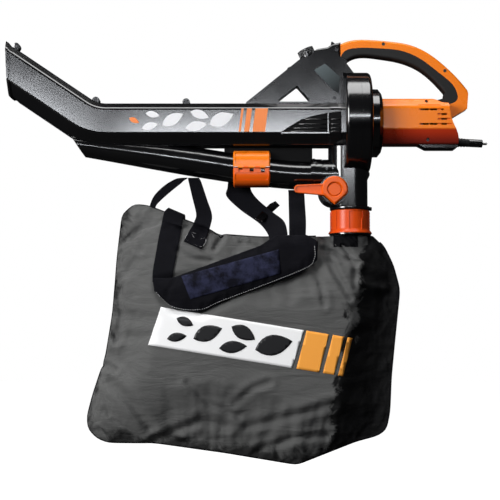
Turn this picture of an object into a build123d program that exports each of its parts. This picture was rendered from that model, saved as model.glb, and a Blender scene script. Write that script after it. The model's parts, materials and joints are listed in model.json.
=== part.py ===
from build123d import *

import os
from math import cos, radians, sin

# Electric leaf blower that also vacuums and mulches, hung by its hand grip.
# The origin is the middle of the hand grip. +X runs to the motor end, -X to the mouth of
# the tube, +Z is up, and y = 0 is the parting plane of every moulded pair (left is -Y).

os.makedirs("parts", exist_ok=True)

# ---------------------------------------------------------------- driving dimensions (mm)
# Fits
wall = 3.0               # wall of the black mouldings
seat_gap = 0.1           # between pieces that are fastened together
run_gap = 0.3            # beside pieces that move
shaft_gap = 0.08         # radial gap of a shaft in its bearing or hole

# Vacuum tube
tube_height = 102.0
tube_width = 92.0
tube_z = -186.5          # height of its centre line
tube_rear_x = -135.4     # joint with the fan housing
crown_half = 29.0        # half width of the flat top
shoulder_up = 36.0       # flat side above the centre line
shoulder_down = 24.0     # flat side below the centre line
keel_half = 25.0         # half width of the flat bottom
bend_x = -705.0
bend_angle = 34.0
bend_radius = 120.0
nose_length = 280.0
mouth_x, mouth_z = -907.0, -50.0
mouth_lean = 3.0
tip_depth = 17.0
tip_groove = 8.0
lip_depth = 6.0
lip_height = 2.0

# Blow duct under the tube: x, centre height, height and width of each station
duct_size = 72.0
duct_rear_x = -149.5
duct_front_x = -387.0
duct_rear_z = -307.0
duct_front_z = -284.5
duct_stations = (
    (duct_rear_x, duct_rear_z, duct_size, duct_size),
    (duct_front_x, duct_front_z, duct_size, duct_size),
    (-499.0, -267.0, 70.0, 70.0),
    (-620.0, -250.0, 60.0, 68.0),
    (-765.0, -230.0, 48.0, 66.0),
)
duct_mouth_x, duct_mouth_z = -735.0, -241.0
duct_mouth_lean = 34.0

# Front brace
brace_half = 17.0
brace_top = (-209.8, -30.5)
brace_foot = (-333.8, -131.0)
brace_rear_foot_x = -182.0
seam_low = (-138.0, -110.0)

# Fan housing, a drum about the motor axis
axis_z = -179.5
fan_radius = 121.5
fan_front_x = -100.0
fan_split_x = -62.0
fan_rear_x = -36.0
fan_corner = 9.0
motor_ring_radius = 82.0
motor_ring_rear_x = -7.7

# Motor housing
motor_front_x = -6.5
motor_rear_x = 174.5
motor_top_z = -124.0
motor_bottom_z = -233.5
motor_half = 50.0
motor_wall = 3.0
motor_break_z = -200.0   # where the flat side turns under
cavity_rear_x = 146.0

# Handle
grip_half = 17.0
handle_front_x = -105.3

# Rear strut
strut_half = 20.0
strut_round = 6.0        # its upper edges, those above strut_soft_z
strut_soft_z = -15.0

# Rotor
shaft_radius = 5.0
impeller_radius = 96.0
blade_count = 9
armature_radius = 27.0
stator_radius = 43.0
bearing_radius = 14.0
bearing_width = 9.0
front_bearing_x = -35.0
rear_bearing_x = 122.0

# Outlet
outlet_x = -83.5
outlet_half = 43.0
outlet_bottom_z = -382.0
ring_radius = 48.5
ring_bottom_z = -392.0
spigot_radius = 40.0
spigot_bottom_z = -428.0
collar_radius = 46.2
collar_bottom_z = -447.6
collar_flare = 52.0
lug_height = 6.0
lug_reach = 2.6

# Foot, shaft and small parts
foot_depth = 10.5        # below the motor housing
foot_half = 20.0
shaft_front_x = -94.0
impeller_front_x = -87.0
impeller_rear_x = -47.0
hub_radius = 14.0
commutator_radius = 13.0
brush_reach = 24.0
brush_half = 3.0

# Controls on the strut
dial_x, dial_z = -182.0, -17.5
dial_tilt = 25.0
dial_radius = 20.0
dial_base_height = 5.0
dial_height = 15.0
dial_stem = 5.0
slider_x, slider_z = -121.0, 8.0
slider_tilt = 14.0
slider_length = 16.0
slider_width = 12.0
slider_travel = 6.0
switch_x, switch_z = -132.0, -24.0
switch_length, switch_width, switch_height = 28.0, 18.0, 22.0
strut_foot_z = -133.8

# Outlet details
outlet_top_z = -239.3
outlet_round = 41.0      # corner radius of the upright body, seen from above
socket_radius = 39.0
joint_ring = 24.0        # length of the ring that holds duct and socket together
pivot_radius = 35.0      # round housing behind the mode lever
cover_screw_radius = 9.0
lug_z = -406.0
collar_twist = 40.0
collar_rib = 1.8         # height of the grip ribs round the collar
rib_count = 9
flap_reach = 60.0
flap_half = 26.0
cap_radius = 15.0
button_radius = 4.7
button_stem = 2.2

# Mode lever
lever_x, lever_z = -123.4, -345.6
lever_hub_radius = 31.5
lever_point = 36.0       # from the axis to the pointer's tip
lever_length = 96.0
lever_thick = 12.0
lever_tip_radius = 9.5
lever_bevel = 3.5
lever_rim = 3.2          # raised edge along the arm
lever_shaft_radius = 5.0

# Clip on the blow duct
clip_front_x = -364.0
clip_rear_x = -276.0
clip_top_z = -248.5
clip_bottom_z = -333.5
clip_split_z = -291.0
clip_half = 41.0
clip_pin_radius = 1.5
clip_recess = 1.4
swing_gap = 2.6          # bore of the flap over the duct

# Mains inlet
tail_z = -225.8
tail_droop = 2.8
boot_radius = 11.0
boot_neck = 6.0
boot_socket = 8.0
boot_length = 30.0
plug_radius = 9.5
plug_length = 32.0
pin_radius = 2.4
pin_length = 11.0

# Bag and webbing
bag_half = 60.0
bag_edge_half = 8.0
bag_taper = 50.0
webbing = 2.6
pad_thick = 11.0

# Screws
boss_radius = 9.0
boss_half = 12.0
screw_radius = 2.0
screw_head_radius = 4.0
screw_head = 3.0
post_radius = 3.6        # pillars inside the motor housing
post_seat = 28.0         # their head seats, from the parting plane
brush_ring_radius = 38.0

reach = 600.0            # half space wide enough to hold any one moulding
motor_axis = Axis((0, 0, axis_z), (1, 0, 0))
mouth_plane = Plane(
    origin=(mouth_x, 0, mouth_z),
    x_dir=(0, 1, 0),
    z_dir=(-cos(radians(mouth_lean)), 0, -sin(radians(mouth_lean))),
)


def across(x, z=0.0):
    """Plane across the machine at x: its x runs along Y and its y runs up."""
    return Plane(origin=(x, 0, z), x_dir=(0, 1, 0), z_dir=(1, 0, 0))


def half_of(form, side):
    """One moulding of a pair that parts at y = 0."""
    middle = -reach / 2 if side == "left" else reach / 2
    with BuildPart() as moulding:
        add(form)
        with Locations((0, middle, 0)):
            Box(4 * reach, reach, 4 * reach, mode=Mode.INTERSECT)
    return moulding.part


def drill_across(points, radius, near, far):
    """Cuts round holes along Y, from y = -near to y = far, in the open part."""
    with BuildSketch(Plane.XZ.offset(near)) as holes:
        with Locations(*points):
            Circle(radius)
    extrude(holes.sketch, amount=-(near + far), mode=Mode.SUBTRACT)


def bosses(points, radius, half):
    """Round screw bosses across the parting plane of the open part."""
    with BuildSketch(Plane.XZ) as rounds:
        with Locations(*points):
            Circle(radius)
    extrude(rounds.sketch, amount=half, both=True)


def screw_holes(points, half, sunk=0.0):
    """Clearance hole, head seat and blind pilot for screws driven from the left."""
    drill_across(points, screw_radius + seat_gap, half + 1, half - 3)
    drill_across(points, screw_head_radius + seat_gap, half + sunk + 1,
                 -(half - screw_head - 0.5))


def screws(points, half):
    """Pan-head screws seated in screw_holes, added to the open part."""
    with BuildSketch(Plane.XZ.offset(half - 0.5)) as heads:
        with Locations(*points):
            Circle(screw_head_radius)
    extrude(heads.sketch, amount=-(screw_head - seat_gap))
    with BuildSketch(Plane.XZ.offset(half - 2)) as shanks:
        with Locations(*points):
            Circle(screw_radius)
    extrude(shanks.sketch, amount=-(2 * half - 6))


# ---------------------------------------------------------------- vacuum tube and blow duct
tube_screws = ((-890.0, 7.0), (-696.0, -125.0), (-478.0, -129.0), (-226.0, -52.0))
nose_dir = (-cos(radians(bend_angle)), 0, sin(radians(bend_angle)))
nose_tip = (
    bend_x - nose_length * cos(radians(bend_angle)),
    tube_z + nose_length * sin(radians(bend_angle)),
)
nose_plane = Plane(
    origin=(bend_x + nose_dir[0] * 150, 0, tube_z + nose_dir[2] * 150),
    x_dir=(0, -1, 0),
    z_dir=nose_dir,
)


def tube_section(plane, grow=0.0):
    """Section of the vacuum tube: flat sides, soft top and a keeled bottom."""
    half = tube_width / 2
    top = tube_height / 2
    with BuildSketch(plane) as section:
        with BuildLine():
            FilletPolyline(
                (-crown_half, top),
                (crown_half, top),
                (half, shoulder_up),
                (half, -shoulder_down),
                (keel_half, -top),
                (-keel_half, -top),
                (-half, -shoulder_down),
                (-half, shoulder_up),
                radius=9.0,
                close=True,
            )
        make_face()
        if grow:
            offset(amount=grow)
    return section.sketch


def tube_solid(grow, start_x):
    """The bent tube as a full solid, grown or shrunk, from start_x to past the mouth."""
    with BuildPart() as solid:
        with BuildLine(Plane.XZ) as path:
            FilletPolyline((start_x, tube_z), (bend_x, tube_z), nose_tip, radius=bend_radius)
        rear = Plane(origin=(start_x, 0, tube_z), x_dir=(0, -1, 0), z_dir=(-1, 0, 0))
        sweep(tube_section(rear, grow), path=path.wires()[0])
    return solid.part


def duct_solid(shrink):
    """The blow duct as a full solid: a round pipe that flattens under the tube."""
    with BuildPart() as solid:
        for x, z, height, width in duct_stations:
            with BuildSketch(across(x, z)):
                Ellipse(width / 2 - shrink, height / 2 - shrink)
        loft()
    return solid.part


def nose_slice(grow, near, far):
    """Slice of the straight nose, between two depths behind the mouth."""
    with BuildPart() as piece:
        extrude(tube_section(nose_plane, grow), amount=nose_length)
        split(bisect_by=mouth_plane.offset(-near), keep=Keep.BOTTOM)
        split(bisect_by=mouth_plane.offset(-far), keep=Keep.TOP)
    return piece.part


duct_mouth_plane = Plane(
    origin=(duct_mouth_x, 0, duct_mouth_z),
    x_dir=(0, 1, 0),
    z_dir=(-cos(radians(duct_mouth_lean)), 0, -sin(radians(duct_mouth_lean))),
)
outer_duct = duct_solid(0)
inner_duct = duct_solid(wall)
outer_tube = tube_solid(0, tube_rear_x)
inner_tube = tube_solid(-wall, tube_rear_x + 1)

# What lies behind the snap window: the duct's own wall, thinned.
with BuildPart() as window_floor:
    add(duct_solid(1.4))
    add(inner_duct, mode=Mode.SUBTRACT)
    with Locations((duct_rear_x - 43.0, 0, duct_rear_z)):
        Box(40.0, 2 * duct_size, 2 * duct_size, mode=Mode.INTERSECT)
inner_sleeve = window_floor.part

with BuildPart() as nozzle_form:
    add(outer_duct)
    split(bisect_by=duct_mouth_plane, keep=Keep.BOTTOM)
    add(inner_duct, mode=Mode.SUBTRACT)
    add(outer_tube)
    # The brace that carries the handle's front end, an inverted V of two legs.
    with BuildSketch(Plane.XZ) as brace:
        with BuildLine():
            Polyline(
                (brace_foot[0], tube_z + tube_height / 2 - 1),
                brace_foot,
                brace_top,
                (seam_low[0] - seat_gap, seam_low[1]),
                (tube_rear_x - seat_gap, seam_low[1] - 16),
                (tube_rear_x - seat_gap, tube_z + tube_height / 2 - 1),
                close=True,
            )
        make_face()
        with BuildLine():
            FilletPolyline(
                (-261.0, -129.0),
                (-211.0, -90.0),
                (brace_rear_foot_x, -123.0),
                (brace_rear_foot_x, -129.0),
                radius=3.0,
                close=True,
            )
        make_face(mode=Mode.SUBTRACT)
    extrude(amount=brace_half, both=True)
    bosses(tube_screws, boss_radius, boss_half)
    add(inner_tube, mode=Mode.SUBTRACT)
    split(bisect_by=mouth_plane.offset(-tip_depth), keep=Keep.BOTTOM)
    # Long recess down each flank of the brace.
    for side in (-1, 1):
        with BuildSketch(Plane.XZ.offset(side * (brace_half - 3))):
            with Locations((-290.0, -110.0)):
                SlotOverall(86.0, 11.0, rotation=39.0)
        extrude(amount=side * 6, mode=Mode.SUBTRACT)
    # Snap window in the near side of the duct, just ahead of its joint ring.
    with BuildSketch(Plane.XZ.offset(duct_size / 2 - 11)):
        with Locations((duct_rear_x - 43.0, duct_rear_z + 28.5)):
            SlotOverall(27.0, 6.5)
    extrude(amount=14, mode=Mode.SUBTRACT)
    add(inner_sleeve)
    # Four flutes along each flank, each starting further back than the one below it.
    for start_x, z in ((-193.0, -177.8), (-215.0, -188.9), (-232.0, -199.9), (-248.0, -209.0)):
        for side in (-1, 1):
            with BuildSketch(Plane.XZ.offset(side * (tube_width / 2 - 1.4))):
                with Locations(((start_x + tube_rear_x) / 2, z)):
                    Rectangle(tube_rear_x - start_x + 4, 4.0)
            extrude(amount=side * 4, mode=Mode.SUBTRACT)

with BuildPart() as nozzle_shell_left:
    add(half_of(nozzle_form.part, "left"))
    screw_holes(tube_screws, boss_half)
with BuildPart() as nozzle_shell_right:
    add(half_of(nozzle_form.part, "right"))
    screw_holes(tube_screws, boss_half)

with BuildPart() as nozzle_tip_ring:
    add(nose_slice(0, 0, tip_depth - tip_groove))
    add(nose_slice(-1.2, 1, tip_depth - seat_gap))
    add(nose_slice(lip_height, 0, lip_depth))
    add(nose_slice(-wall, -1, tip_depth + 1), mode=Mode.SUBTRACT)

with BuildPart() as tube_fasteners:
    screws(tube_screws, boss_half)


# ---------------------------------------------------------------- fan housing
collar_band = 1.5
discharge_half = 36.0
discharge_top_z = axis_z - 101.0
bearing_boss = 19.0


def drum_outline(face_x, split_x):
    """Half profile of one drum shell, from its face plate to the split line."""
    inward = 1 if split_x > face_x else -1
    with BuildSketch(Plane.XZ) as outline:
        with BuildLine():
            FilletPolyline(
                (face_x, axis_z),
                (face_x, axis_z + fan_radius),
                (split_x, axis_z + fan_radius),
                (split_x, axis_z + fan_radius - wall),
                (face_x + inward * wall, axis_z + fan_radius - wall),
                (face_x + inward * wall, axis_z),
                radius=(0, fan_corner, 0, 0, fan_corner - wall, 0),
                close=True,
            )
        make_face()
    return outline.sketch


def discharge_cut():
    """Opens the bottom of the drum into the outlet, with room for the flap's swing."""
    low = axis_z - fan_radius - 1
    with BuildSketch(Plane.XY.offset(low)) as mouth:
        with Locations(((fan_front_x + fan_rear_x - wall - 1) / 2, 0)):
            Rectangle(fan_rear_x - wall - fan_front_x + 1, 2 * discharge_half)
    extrude(mouth.sketch, amount=discharge_top_z - low, mode=Mode.SUBTRACT)


with BuildPart() as fan_housing_front:
    revolve(drum_outline(fan_front_x, fan_split_x), axis=motor_axis)
    collar_start = tube_rear_x + seat_gap
    extrude(tube_section(across(collar_start, tube_z)), amount=fan_front_x - collar_start)
    collar_rim = tube_section(across(collar_start + 3, tube_z), collar_band)
    extrude(collar_rim, amount=26.0)
    bore = tube_section(across(collar_start, tube_z), -wall)
    extrude(bore, amount=fan_front_x + wall + 1 - collar_start, mode=Mode.SUBTRACT)
    discharge_cut()

with BuildPart() as fan_housing_rear:
    revolve(drum_outline(fan_rear_x, fan_split_x + seat_gap), axis=motor_axis)
    with BuildSketch(across(fan_rear_x - 1, axis_z)):
        Circle(bearing_boss)
    extrude(amount=bearing_width + 3)
    with BuildSketch(across(front_bearing_x - seat_gap, axis_z)):
        Circle(bearing_radius + shaft_gap)
    extrude(amount=bearing_width + 5, mode=Mode.SUBTRACT)
    with BuildSketch(across(fan_rear_x - wall - 1, axis_z)):
        Circle(shaft_radius + 1)
    extrude(amount=10, mode=Mode.SUBTRACT)
    discharge_cut()

with BuildPart() as motor_ring:
    with BuildSketch(Plane.XZ):
        with BuildLine():
            Polyline(
                (fan_rear_x + seat_gap, axis_z + motor_ring_radius),
                (-17.5, axis_z + motor_ring_radius),
                (-9.5, axis_z + 72.0),
                (motor_ring_rear_x, axis_z + 66.0),
                (motor_ring_rear_x, axis_z + 44.0),
                (motor_ring_rear_x - wall, axis_z + 44.0),
                (motor_ring_rear_x - wall, axis_z + 66.0),
                (-20.0, axis_z + motor_ring_radius - wall),
                (fan_rear_x + seat_gap, axis_z + motor_ring_radius - wall),
                close=True,
            )
        make_face()
    revolve(axis=motor_axis)

# ---------------------------------------------------------------- motor housing and handle
handle_edge = (
    (-104.6, -19.7), (-90.0, -3.0), (-75.8, 0.5), (-7.0, 0.5), (30.0, -3.0), (66.5, -14.0),
    (98.6, -32.6), (133.0, -60.0), (167.5, -92.4), (176.0, -115.0), (165.0, -132.5),
    (144.5, -136.0), (124.0, -129.5),
)
grip_edge = ((-89.0, -30.0), (-74.0, -21.4), (-11.5, -21.0), (30.0, -28.0), (82.6, -48.7),
             (121.7, -81.0), (145.5, -108.0), (143.0, -121.0), (124.0, -126.0))
handle_screws = ((-2.0, 11.0), (146.0, -54.0))
vent_height = 4.5
vents = ((-142.0, 76.0, 131.0), (-154.0, 79.0, 137.0), (-165.5, 122.0, 146.0),
         (-177.0, 122.0, 153.0), (-189.0, 79.0, 157.0))
stator_front_x = 32.0
stator_rear_x = 88.0
brush_x = 102.0
rib_top_z = -141.5


tail_plane = Plane(
    origin=(motor_rear_x, 0, tail_z), x_dir=(0, 1, 0),
    z_dir=(cos(radians(tail_droop)), 0, -sin(radians(tail_droop))),
)


def motor_section(plane, grow=0.0):
    """Section of the motor housing: round shoulders, flat sides turned under at the bottom."""
    with BuildSketch(plane) as section:
        with BuildLine():
            FilletPolyline(
                (-30.0, motor_top_z - axis_z),
                (30.0, motor_top_z - axis_z),
                (motor_half, motor_top_z - axis_z - 22.0),
                (motor_half, motor_break_z - axis_z),
                (27.0, motor_bottom_z - axis_z),
                (-27.0, motor_bottom_z - axis_z),
                (-motor_half, motor_break_z - axis_z),
                (-motor_half, motor_top_z - axis_z - 22.0),
                radius=(14.0, 14.0, 16.0, 5.0, 12.0, 12.0, 5.0, 16.0),
                close=True,
            )
        make_face()
        if grow:
            offset(amount=grow)
    return section.sketch


def grip_face():
    """Side outline of the soft grip, between the orange shell and the hand opening."""
    with BuildSketch(Plane.XZ) as face:
        with BuildLine():
            outer = Spline(*handle_edge[:10])
            Spline(*handle_edge[9:], tangents=(outer % 1, (-1.0, 0.5)))
            Line(handle_edge[-1], grip_edge[-1])
            Spline(*grip_edge[:7])
            Polyline(*grip_edge[6:])
            Line(grip_edge[0], handle_edge[0])
        make_face()
    return face.sketch


with BuildPart() as grip_insert:
    extrude(grip_face(), amount=grip_half, both=True)
    long_edges = grip_insert.faces().filter_by(Axis.Y).edges().sort_by(SortBy.LENGTH)
    fillet(long_edges[-4:-2], radius=6.0)

with BuildPart() as handle_form:
    with BuildSketch(Plane.XZ):
        with BuildLine():
            back = Spline((handle_front_x, 12.0), (-77.0, 21.4), (-39.0, 22.8), (11.0, 19.0),
                          (64.0, 9.8), (106.0, -9.8), (144.5, -39.6), (179.0, -74.0),
                          (200.0, -100.0))
            Polyline((200.0, -100.0), (201.5, -110.0), (198.5, -146.0), (156.0, -171.6),
                     (130.0, -171.6), (124.0, -135.0), (100.0, -100.0), (0.0, -10.0),
                     (handle_front_x, -20.0), (handle_front_x, 12.0))
        make_face()
    extrude(amount=grip_half, both=True)
    extrude(grip_face(), amount=grip_half + 1, both=True, mode=Mode.SUBTRACT)
    # Only the shell outside the grip stays: what lay in the hand opening is cut away.
    with BuildSketch(Plane.XZ):
        with BuildLine():
            Polyline((-89.0, -26.0), (-11.5, -17.0), (30.0, -24.0), (82.6, -44.0), (121.7, -77.0),
                     (150.0, -110.0), (150.0, -123.0), (110.0, -128.0), (60.0, -160.0),
                     (-120.0, -60.0), close=True)
        make_face()
    extrude(amount=grip_half + 1, both=True, mode=Mode.SUBTRACT)
    outer_rim = handle_form.faces().filter_by(Axis.Y).edges().filter_by(GeomType.BSPLINE)
    fillet(outer_rim.sort_by(Axis.Z)[-2:], radius=7.0)

motor_screws = ((98.0, -132.2), (101.0, -223.7))
# Ribs that hold the stator, the brush ring and the rear bearing: x, thickness, bore radius.
rib_places = (
    (stator_front_x + 4, wall, stator_radius + seat_gap),
    (stator_rear_x - 7, wall, stator_radius + seat_gap),
    (brush_x, wall, brush_ring_radius + seat_gap),
    (rear_bearing_x - seat_gap, bearing_width + 1, bearing_radius + shaft_gap),
)


def motor_rib(x, thickness, radius):
    """Rib across the motor cavity with a round seat about the motor axis."""
    with BuildPart() as rib:
        extrude(motor_section(across(x, axis_z), -motor_wall + 0.5), amount=thickness)
        with Locations((x, 0, rib_top_z)):
            Box(4 * thickness, 2 * motor_half, motor_half, mode=Mode.SUBTRACT,
                align=(Align.CENTER, Align.CENTER, Align.MIN))
        with BuildSketch(across(x - 1, axis_z)):
            Circle(radius)
        extrude(amount=thickness + 2, mode=Mode.SUBTRACT)
    return rib.part


# Cavity for the motor, under the sloping roof.
with BuildPart() as motor_room:
    extrude(motor_section(across(motor_front_x - 1, axis_z), -motor_wall),
            amount=cavity_rear_x - motor_front_x)
    with BuildSketch(Plane.XZ):
        with BuildLine():
            Polyline((motor_front_x - 1, motor_top_z), (108.0, motor_top_z),
                     (cavity_rear_x, -141.0), (cavity_rear_x, motor_bottom_z),
                     (motor_front_x - 1, motor_bottom_z), close=True)
        make_face()
    extrude(amount=motor_half, both=True, mode=Mode.INTERSECT)
    # Pillars left standing in it for the side screws, thicker at their head seats.
    with BuildSketch(Plane.XZ):
        with Locations(*motor_screws):
            Circle(post_radius)
    extrude(amount=motor_half, both=True, mode=Mode.SUBTRACT)
    for side in (-1, 1):
        with BuildSketch(Plane.XZ.offset(side * (post_seat - 6))):
            with Locations(*motor_screws):
                Circle(post_radius + 3)
        extrude(amount=side * motor_half, mode=Mode.SUBTRACT)

with BuildPart() as motor_form:
    extrude(motor_section(across(motor_front_x, axis_z)), amount=motor_rear_x - motor_front_x)
    with BuildSketch(Plane.XZ):
        with BuildLine():
            Polyline((motor_front_x, motor_top_z), (112.0, motor_top_z), (150.0, -137.0),
                     (154.8, -171.6), (159.4, -185.5), (172.0, motor_bottom_z + 21.5),
                     (motor_rear_x, motor_bottom_z + 12.5), (motor_rear_x, motor_bottom_z),
                     (motor_front_x, motor_bottom_z), close=True)
        make_face()
    extrude(amount=motor_half + 1, both=True, mode=Mode.INTERSECT)
    add(handle_form.part)
    extrude(grip_face(), amount=motor_half + 1, both=True, mode=Mode.SUBTRACT)
    add(motor_room.part, mode=Mode.SUBTRACT)
    for x, thickness, radius in rib_places:
        add(motor_rib(x, thickness, radius))
    # Louvres that let the motor breathe, on both flanks.
    for z, front_x, back_x in vents:
        for side in (-1, 1):
            with BuildSketch(Plane.XZ.offset(side * (motor_half - motor_wall - 1.5))):
                with Locations(((front_x + back_x) / 2, z)):
                    SlotOverall(back_x - front_x, vent_height)
            extrude(amount=side * 8, mode=Mode.SUBTRACT)
    bosses(handle_screws, 6.0, grip_half)
    with BuildSketch(tail_plane.offset(-boot_socket - 1)):
        Circle(boot_neck + seat_gap)
    extrude(amount=boot_socket + 5, mode=Mode.SUBTRACT)


with BuildPart() as motor_housing_left:
    add(half_of(motor_form.part, "left"))
    screw_holes(handle_screws, grip_half)
    screw_holes(motor_screws, post_seat, sunk=motor_half - post_seat)
with BuildPart() as motor_housing_right:
    add(half_of(motor_form.part, "right"))
    screw_holes(handle_screws, grip_half)
    screw_holes(motor_screws, post_seat)

with BuildPart() as foot:
    with BuildSketch(Plane.XZ):
        with BuildLine():
            Polyline((80.0, motor_bottom_z - seat_gap), (100.0, motor_bottom_z - foot_depth),
                     (167.0, motor_bottom_z - foot_depth),
                     (motor_rear_x, motor_bottom_z - foot_depth / 2),
                     (motor_rear_x, motor_bottom_z - seat_gap), close=True)
        make_face()
    extrude(amount=foot_half, both=True)
    fillet(foot.faces().filter_by(Axis.Y).edges().group_by(Axis.Z)[0], radius=3.0)

# ---------------------------------------------------------------- rotor and motor
with BuildPart() as motor_shaft:
    with BuildSketch(across(shaft_front_x, axis_z)):
        Circle(shaft_radius)
    extrude(amount=rear_bearing_x + bearing_width + 2 - shaft_front_x)

blade_line = ThreePointArc((26.0, 0.0), (60.0, 15.0), (88.0, 46.0))


def ring_on_shaft(front_x, length, outer, inner):
    """Plain ring about the motor axis."""
    with BuildPart() as ring:
        with BuildSketch(across(front_x, axis_z)):
            Circle(outer)
            Circle(inner, mode=Mode.SUBTRACT)
        extrude(amount=length)
    return ring.part


with BuildPart() as impeller:
    with BuildSketch(across(impeller_front_x, axis_z)):
        Circle(hub_radius)
        with PolarLocations(0, blade_count):
            SlotArc(blade_line, 3.0)
    extrude(amount=impeller_rear_x - impeller_front_x)
    with BuildSketch(across(impeller_rear_x - 3, axis_z)):
        Circle(impeller_radius)
    extrude(amount=3.0)
    with BuildSketch(across(impeller_front_x - 1, axis_z)):
        Circle(shaft_radius + seat_gap)
    extrude(amount=impeller_rear_x - impeller_front_x + 2, mode=Mode.SUBTRACT)

with BuildPart() as impeller_nut:
    with BuildSketch(across(shaft_front_x, axis_z)):
        RegularPolygon(9.0, 6)
        Circle(shaft_radius + seat_gap, mode=Mode.SUBTRACT)
    extrude(amount=impeller_front_x - seat_gap - shaft_front_x)

with BuildPart() as armature:
    add(ring_on_shaft(stator_front_x + 4, stator_rear_x - stator_front_x - 8, armature_radius,
                      shaft_radius + seat_gap))
    with BuildSketch(across(stator_front_x, axis_z)):
        with PolarLocations(armature_radius, 12):
            Circle(2.2)
    extrude(amount=stator_rear_x - stator_front_x, mode=Mode.SUBTRACT)

with BuildPart() as commutator:
    add(ring_on_shaft(stator_rear_x + 3, 24.0, commutator_radius, shaft_radius + seat_gap))

with BuildPart() as cooling_fan:
    add(ring_on_shaft(4.0, 14.0, 12.0, shaft_radius + seat_gap))
    add(ring_on_shaft(16.0, 2.0, 38.0, 11.0))
    with BuildSketch(across(4.0, axis_z)):
        with PolarLocations(0, 8):
            with Locations((24.0, 0.0)):
                Rectangle(27.0, 2.0)
    extrude(amount=12.5)

with BuildPart() as stator:
    add(ring_on_shaft(stator_front_x, stator_rear_x - stator_front_x, stator_radius,
                      armature_radius + 1))

with BuildPart() as brush_ring:
    # Its bore clears the outer corners of the brushes.
    bore = (brush_reach ** 2 + brush_half ** 2) ** 0.5 + seat_gap
    add(ring_on_shaft(stator_rear_x + 8, 18.0, brush_ring_radius, bore))

with BuildPart() as carbon_brushes:
    for side in (-1, 1):
        middle = side * (commutator_radius + run_gap + brush_reach) / 2
        with BuildSketch(across(brush_x - 1, axis_z)):
            with Locations((0, middle)):
                Rectangle(2 * brush_half, brush_reach - commutator_radius - run_gap)
        extrude(amount=8.0)

with BuildPart() as front_bearing:
    add(ring_on_shaft(front_bearing_x, bearing_width, bearing_radius, shaft_radius + shaft_gap))
with BuildPart() as rear_bearing:
    add(ring_on_shaft(rear_bearing_x, bearing_width, bearing_radius, shaft_radius + shaft_gap))

# ---------------------------------------------------------------- rear strut and its controls
strut_screws = ((-116.0, -3.0), (-121.0, -121.0))
dial_plane = Plane(
    origin=(dial_x, 0, dial_z), x_dir=(cos(radians(dial_tilt)), 0, sin(radians(dial_tilt))),
    z_dir=(-sin(radians(dial_tilt)), 0, cos(radians(dial_tilt))),
)
slider_plane = Plane(
    origin=(slider_x, 0, slider_z), x_dir=(cos(radians(slider_tilt)), 0, sin(radians(slider_tilt))),
    z_dir=(-sin(radians(slider_tilt)), 0, cos(radians(slider_tilt))),
)

with BuildPart() as strut_form:
    with BuildSketch(Plane.XZ):
        with BuildLine():
            Polyline((brace_top[0] + seat_gap, brace_top[1]), (-161.0, -0.5), (-137.0, 3.6),
                     (-126.0, 11.0), (handle_front_x - seat_gap, 15.6),
                     (handle_front_x - seat_gap, -20.0), (-89.3, -30.0), (-91.0, -37.0),
                     (-74.0, -60.0), (-74.0, -75.0), (fan_front_x - seat_gap, -75.0),
                     (fan_front_x - seat_gap, strut_foot_z),
                     (tube_rear_x + seat_gap, strut_foot_z), (tube_rear_x + seat_gap, -126.0),
                     (seam_low[0] + seat_gap, seam_low[1]), close=True)
        make_face()
    extrude(amount=strut_half, both=True)
    side_edges = strut_form.faces().filter_by(Axis.Y).edges()
    fillet(side_edges.filter_by(lambda edge: edge.center().Z > strut_soft_z), radius=strut_round)
    # The drum that the strut saddles.
    with BuildSketch(across(fan_front_x - seat_gap, axis_z)):
        Circle(fan_radius + seat_gap)
    extrude(amount=60, mode=Mode.SUBTRACT)
    # Raised panel on each flank.
    for side in (-1, 1):
        with BuildSketch(Plane.XZ.offset(side * (strut_half - 1))):
            with BuildLine():
                FilletPolyline((-142.0, -35.0), (-174.0, -53.0), (-121.0, -107.0),
                               (-108.5, -114.0), (-104.0, -70.0), radius=2.0, close=True)
            make_face()
        extrude(amount=side * 3.0)
    # Pocket for the switch module, seat of the dial and slot of the thumb switch.
    with Locations((switch_x, 0, switch_z)):
        Box(switch_length + 2 * seat_gap, switch_width + 2 * seat_gap,
            switch_height + 2 * seat_gap, mode=Mode.SUBTRACT)
    with BuildSketch(dial_plane):
        Circle(dial_radius + 3)
    extrude(amount=40, mode=Mode.SUBTRACT)
    with BuildSketch(slider_plane):
        with Locations((slider_travel / 2, 0)):
            Rectangle(slider_length + slider_travel + 2 * run_gap, slider_width + 2 * run_gap)
    extrude(amount=20, mode=Mode.SUBTRACT)

with BuildPart() as rear_strut_left:
    add(half_of(strut_form.part, "left"))
    screw_holes(strut_screws, strut_half)
with BuildPart() as rear_strut_right:
    add(half_of(strut_form.part, "right"))
    screw_holes(strut_screws, strut_half)

with BuildPart() as dial_base:
    with BuildSketch(dial_plane.offset(seat_gap)):
        Circle(dial_radius + 1.5)
    extrude(amount=dial_base_height)
    with BuildSketch(dial_plane):
        Circle(dial_stem + shaft_gap)
    extrude(amount=dial_base_height + 1, mode=Mode.SUBTRACT)

with BuildPart() as speed_dial:
    with BuildSketch(dial_plane.offset(dial_base_height + seat_gap + run_gap)):
        Circle(dial_radius - 1)
        with PolarLocations(dial_radius - 1, 28):
            Circle(1.0)
    extrude(amount=dial_height)
    with BuildSketch(dial_plane.offset(seat_gap + run_gap)):
        Circle(dial_stem)
    extrude(amount=dial_base_height + 1)

with BuildPart() as switch_slider:
    with BuildSketch(slider_plane.offset(run_gap)):
        Rectangle(slider_length, slider_width)
    extrude(amount=3.0)
    with BuildSketch(Plane.XZ) as spur:
        with BuildLine():
            FilletPolyline((-128.0, 8.5), (-127.0, 20.0), (-124.0, 20.0), (-118.5, 15.5),
                           (-114.5, 12.0), radius=(0, 1.0, 1.0, 1.0, 0), close=True)
        make_face()
    extrude(spur.sketch, amount=4.5, both=True)

with BuildPart() as switch_module:
    with Locations((switch_x, 0, switch_z)):
        Box(switch_length, switch_width, switch_height)

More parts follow.
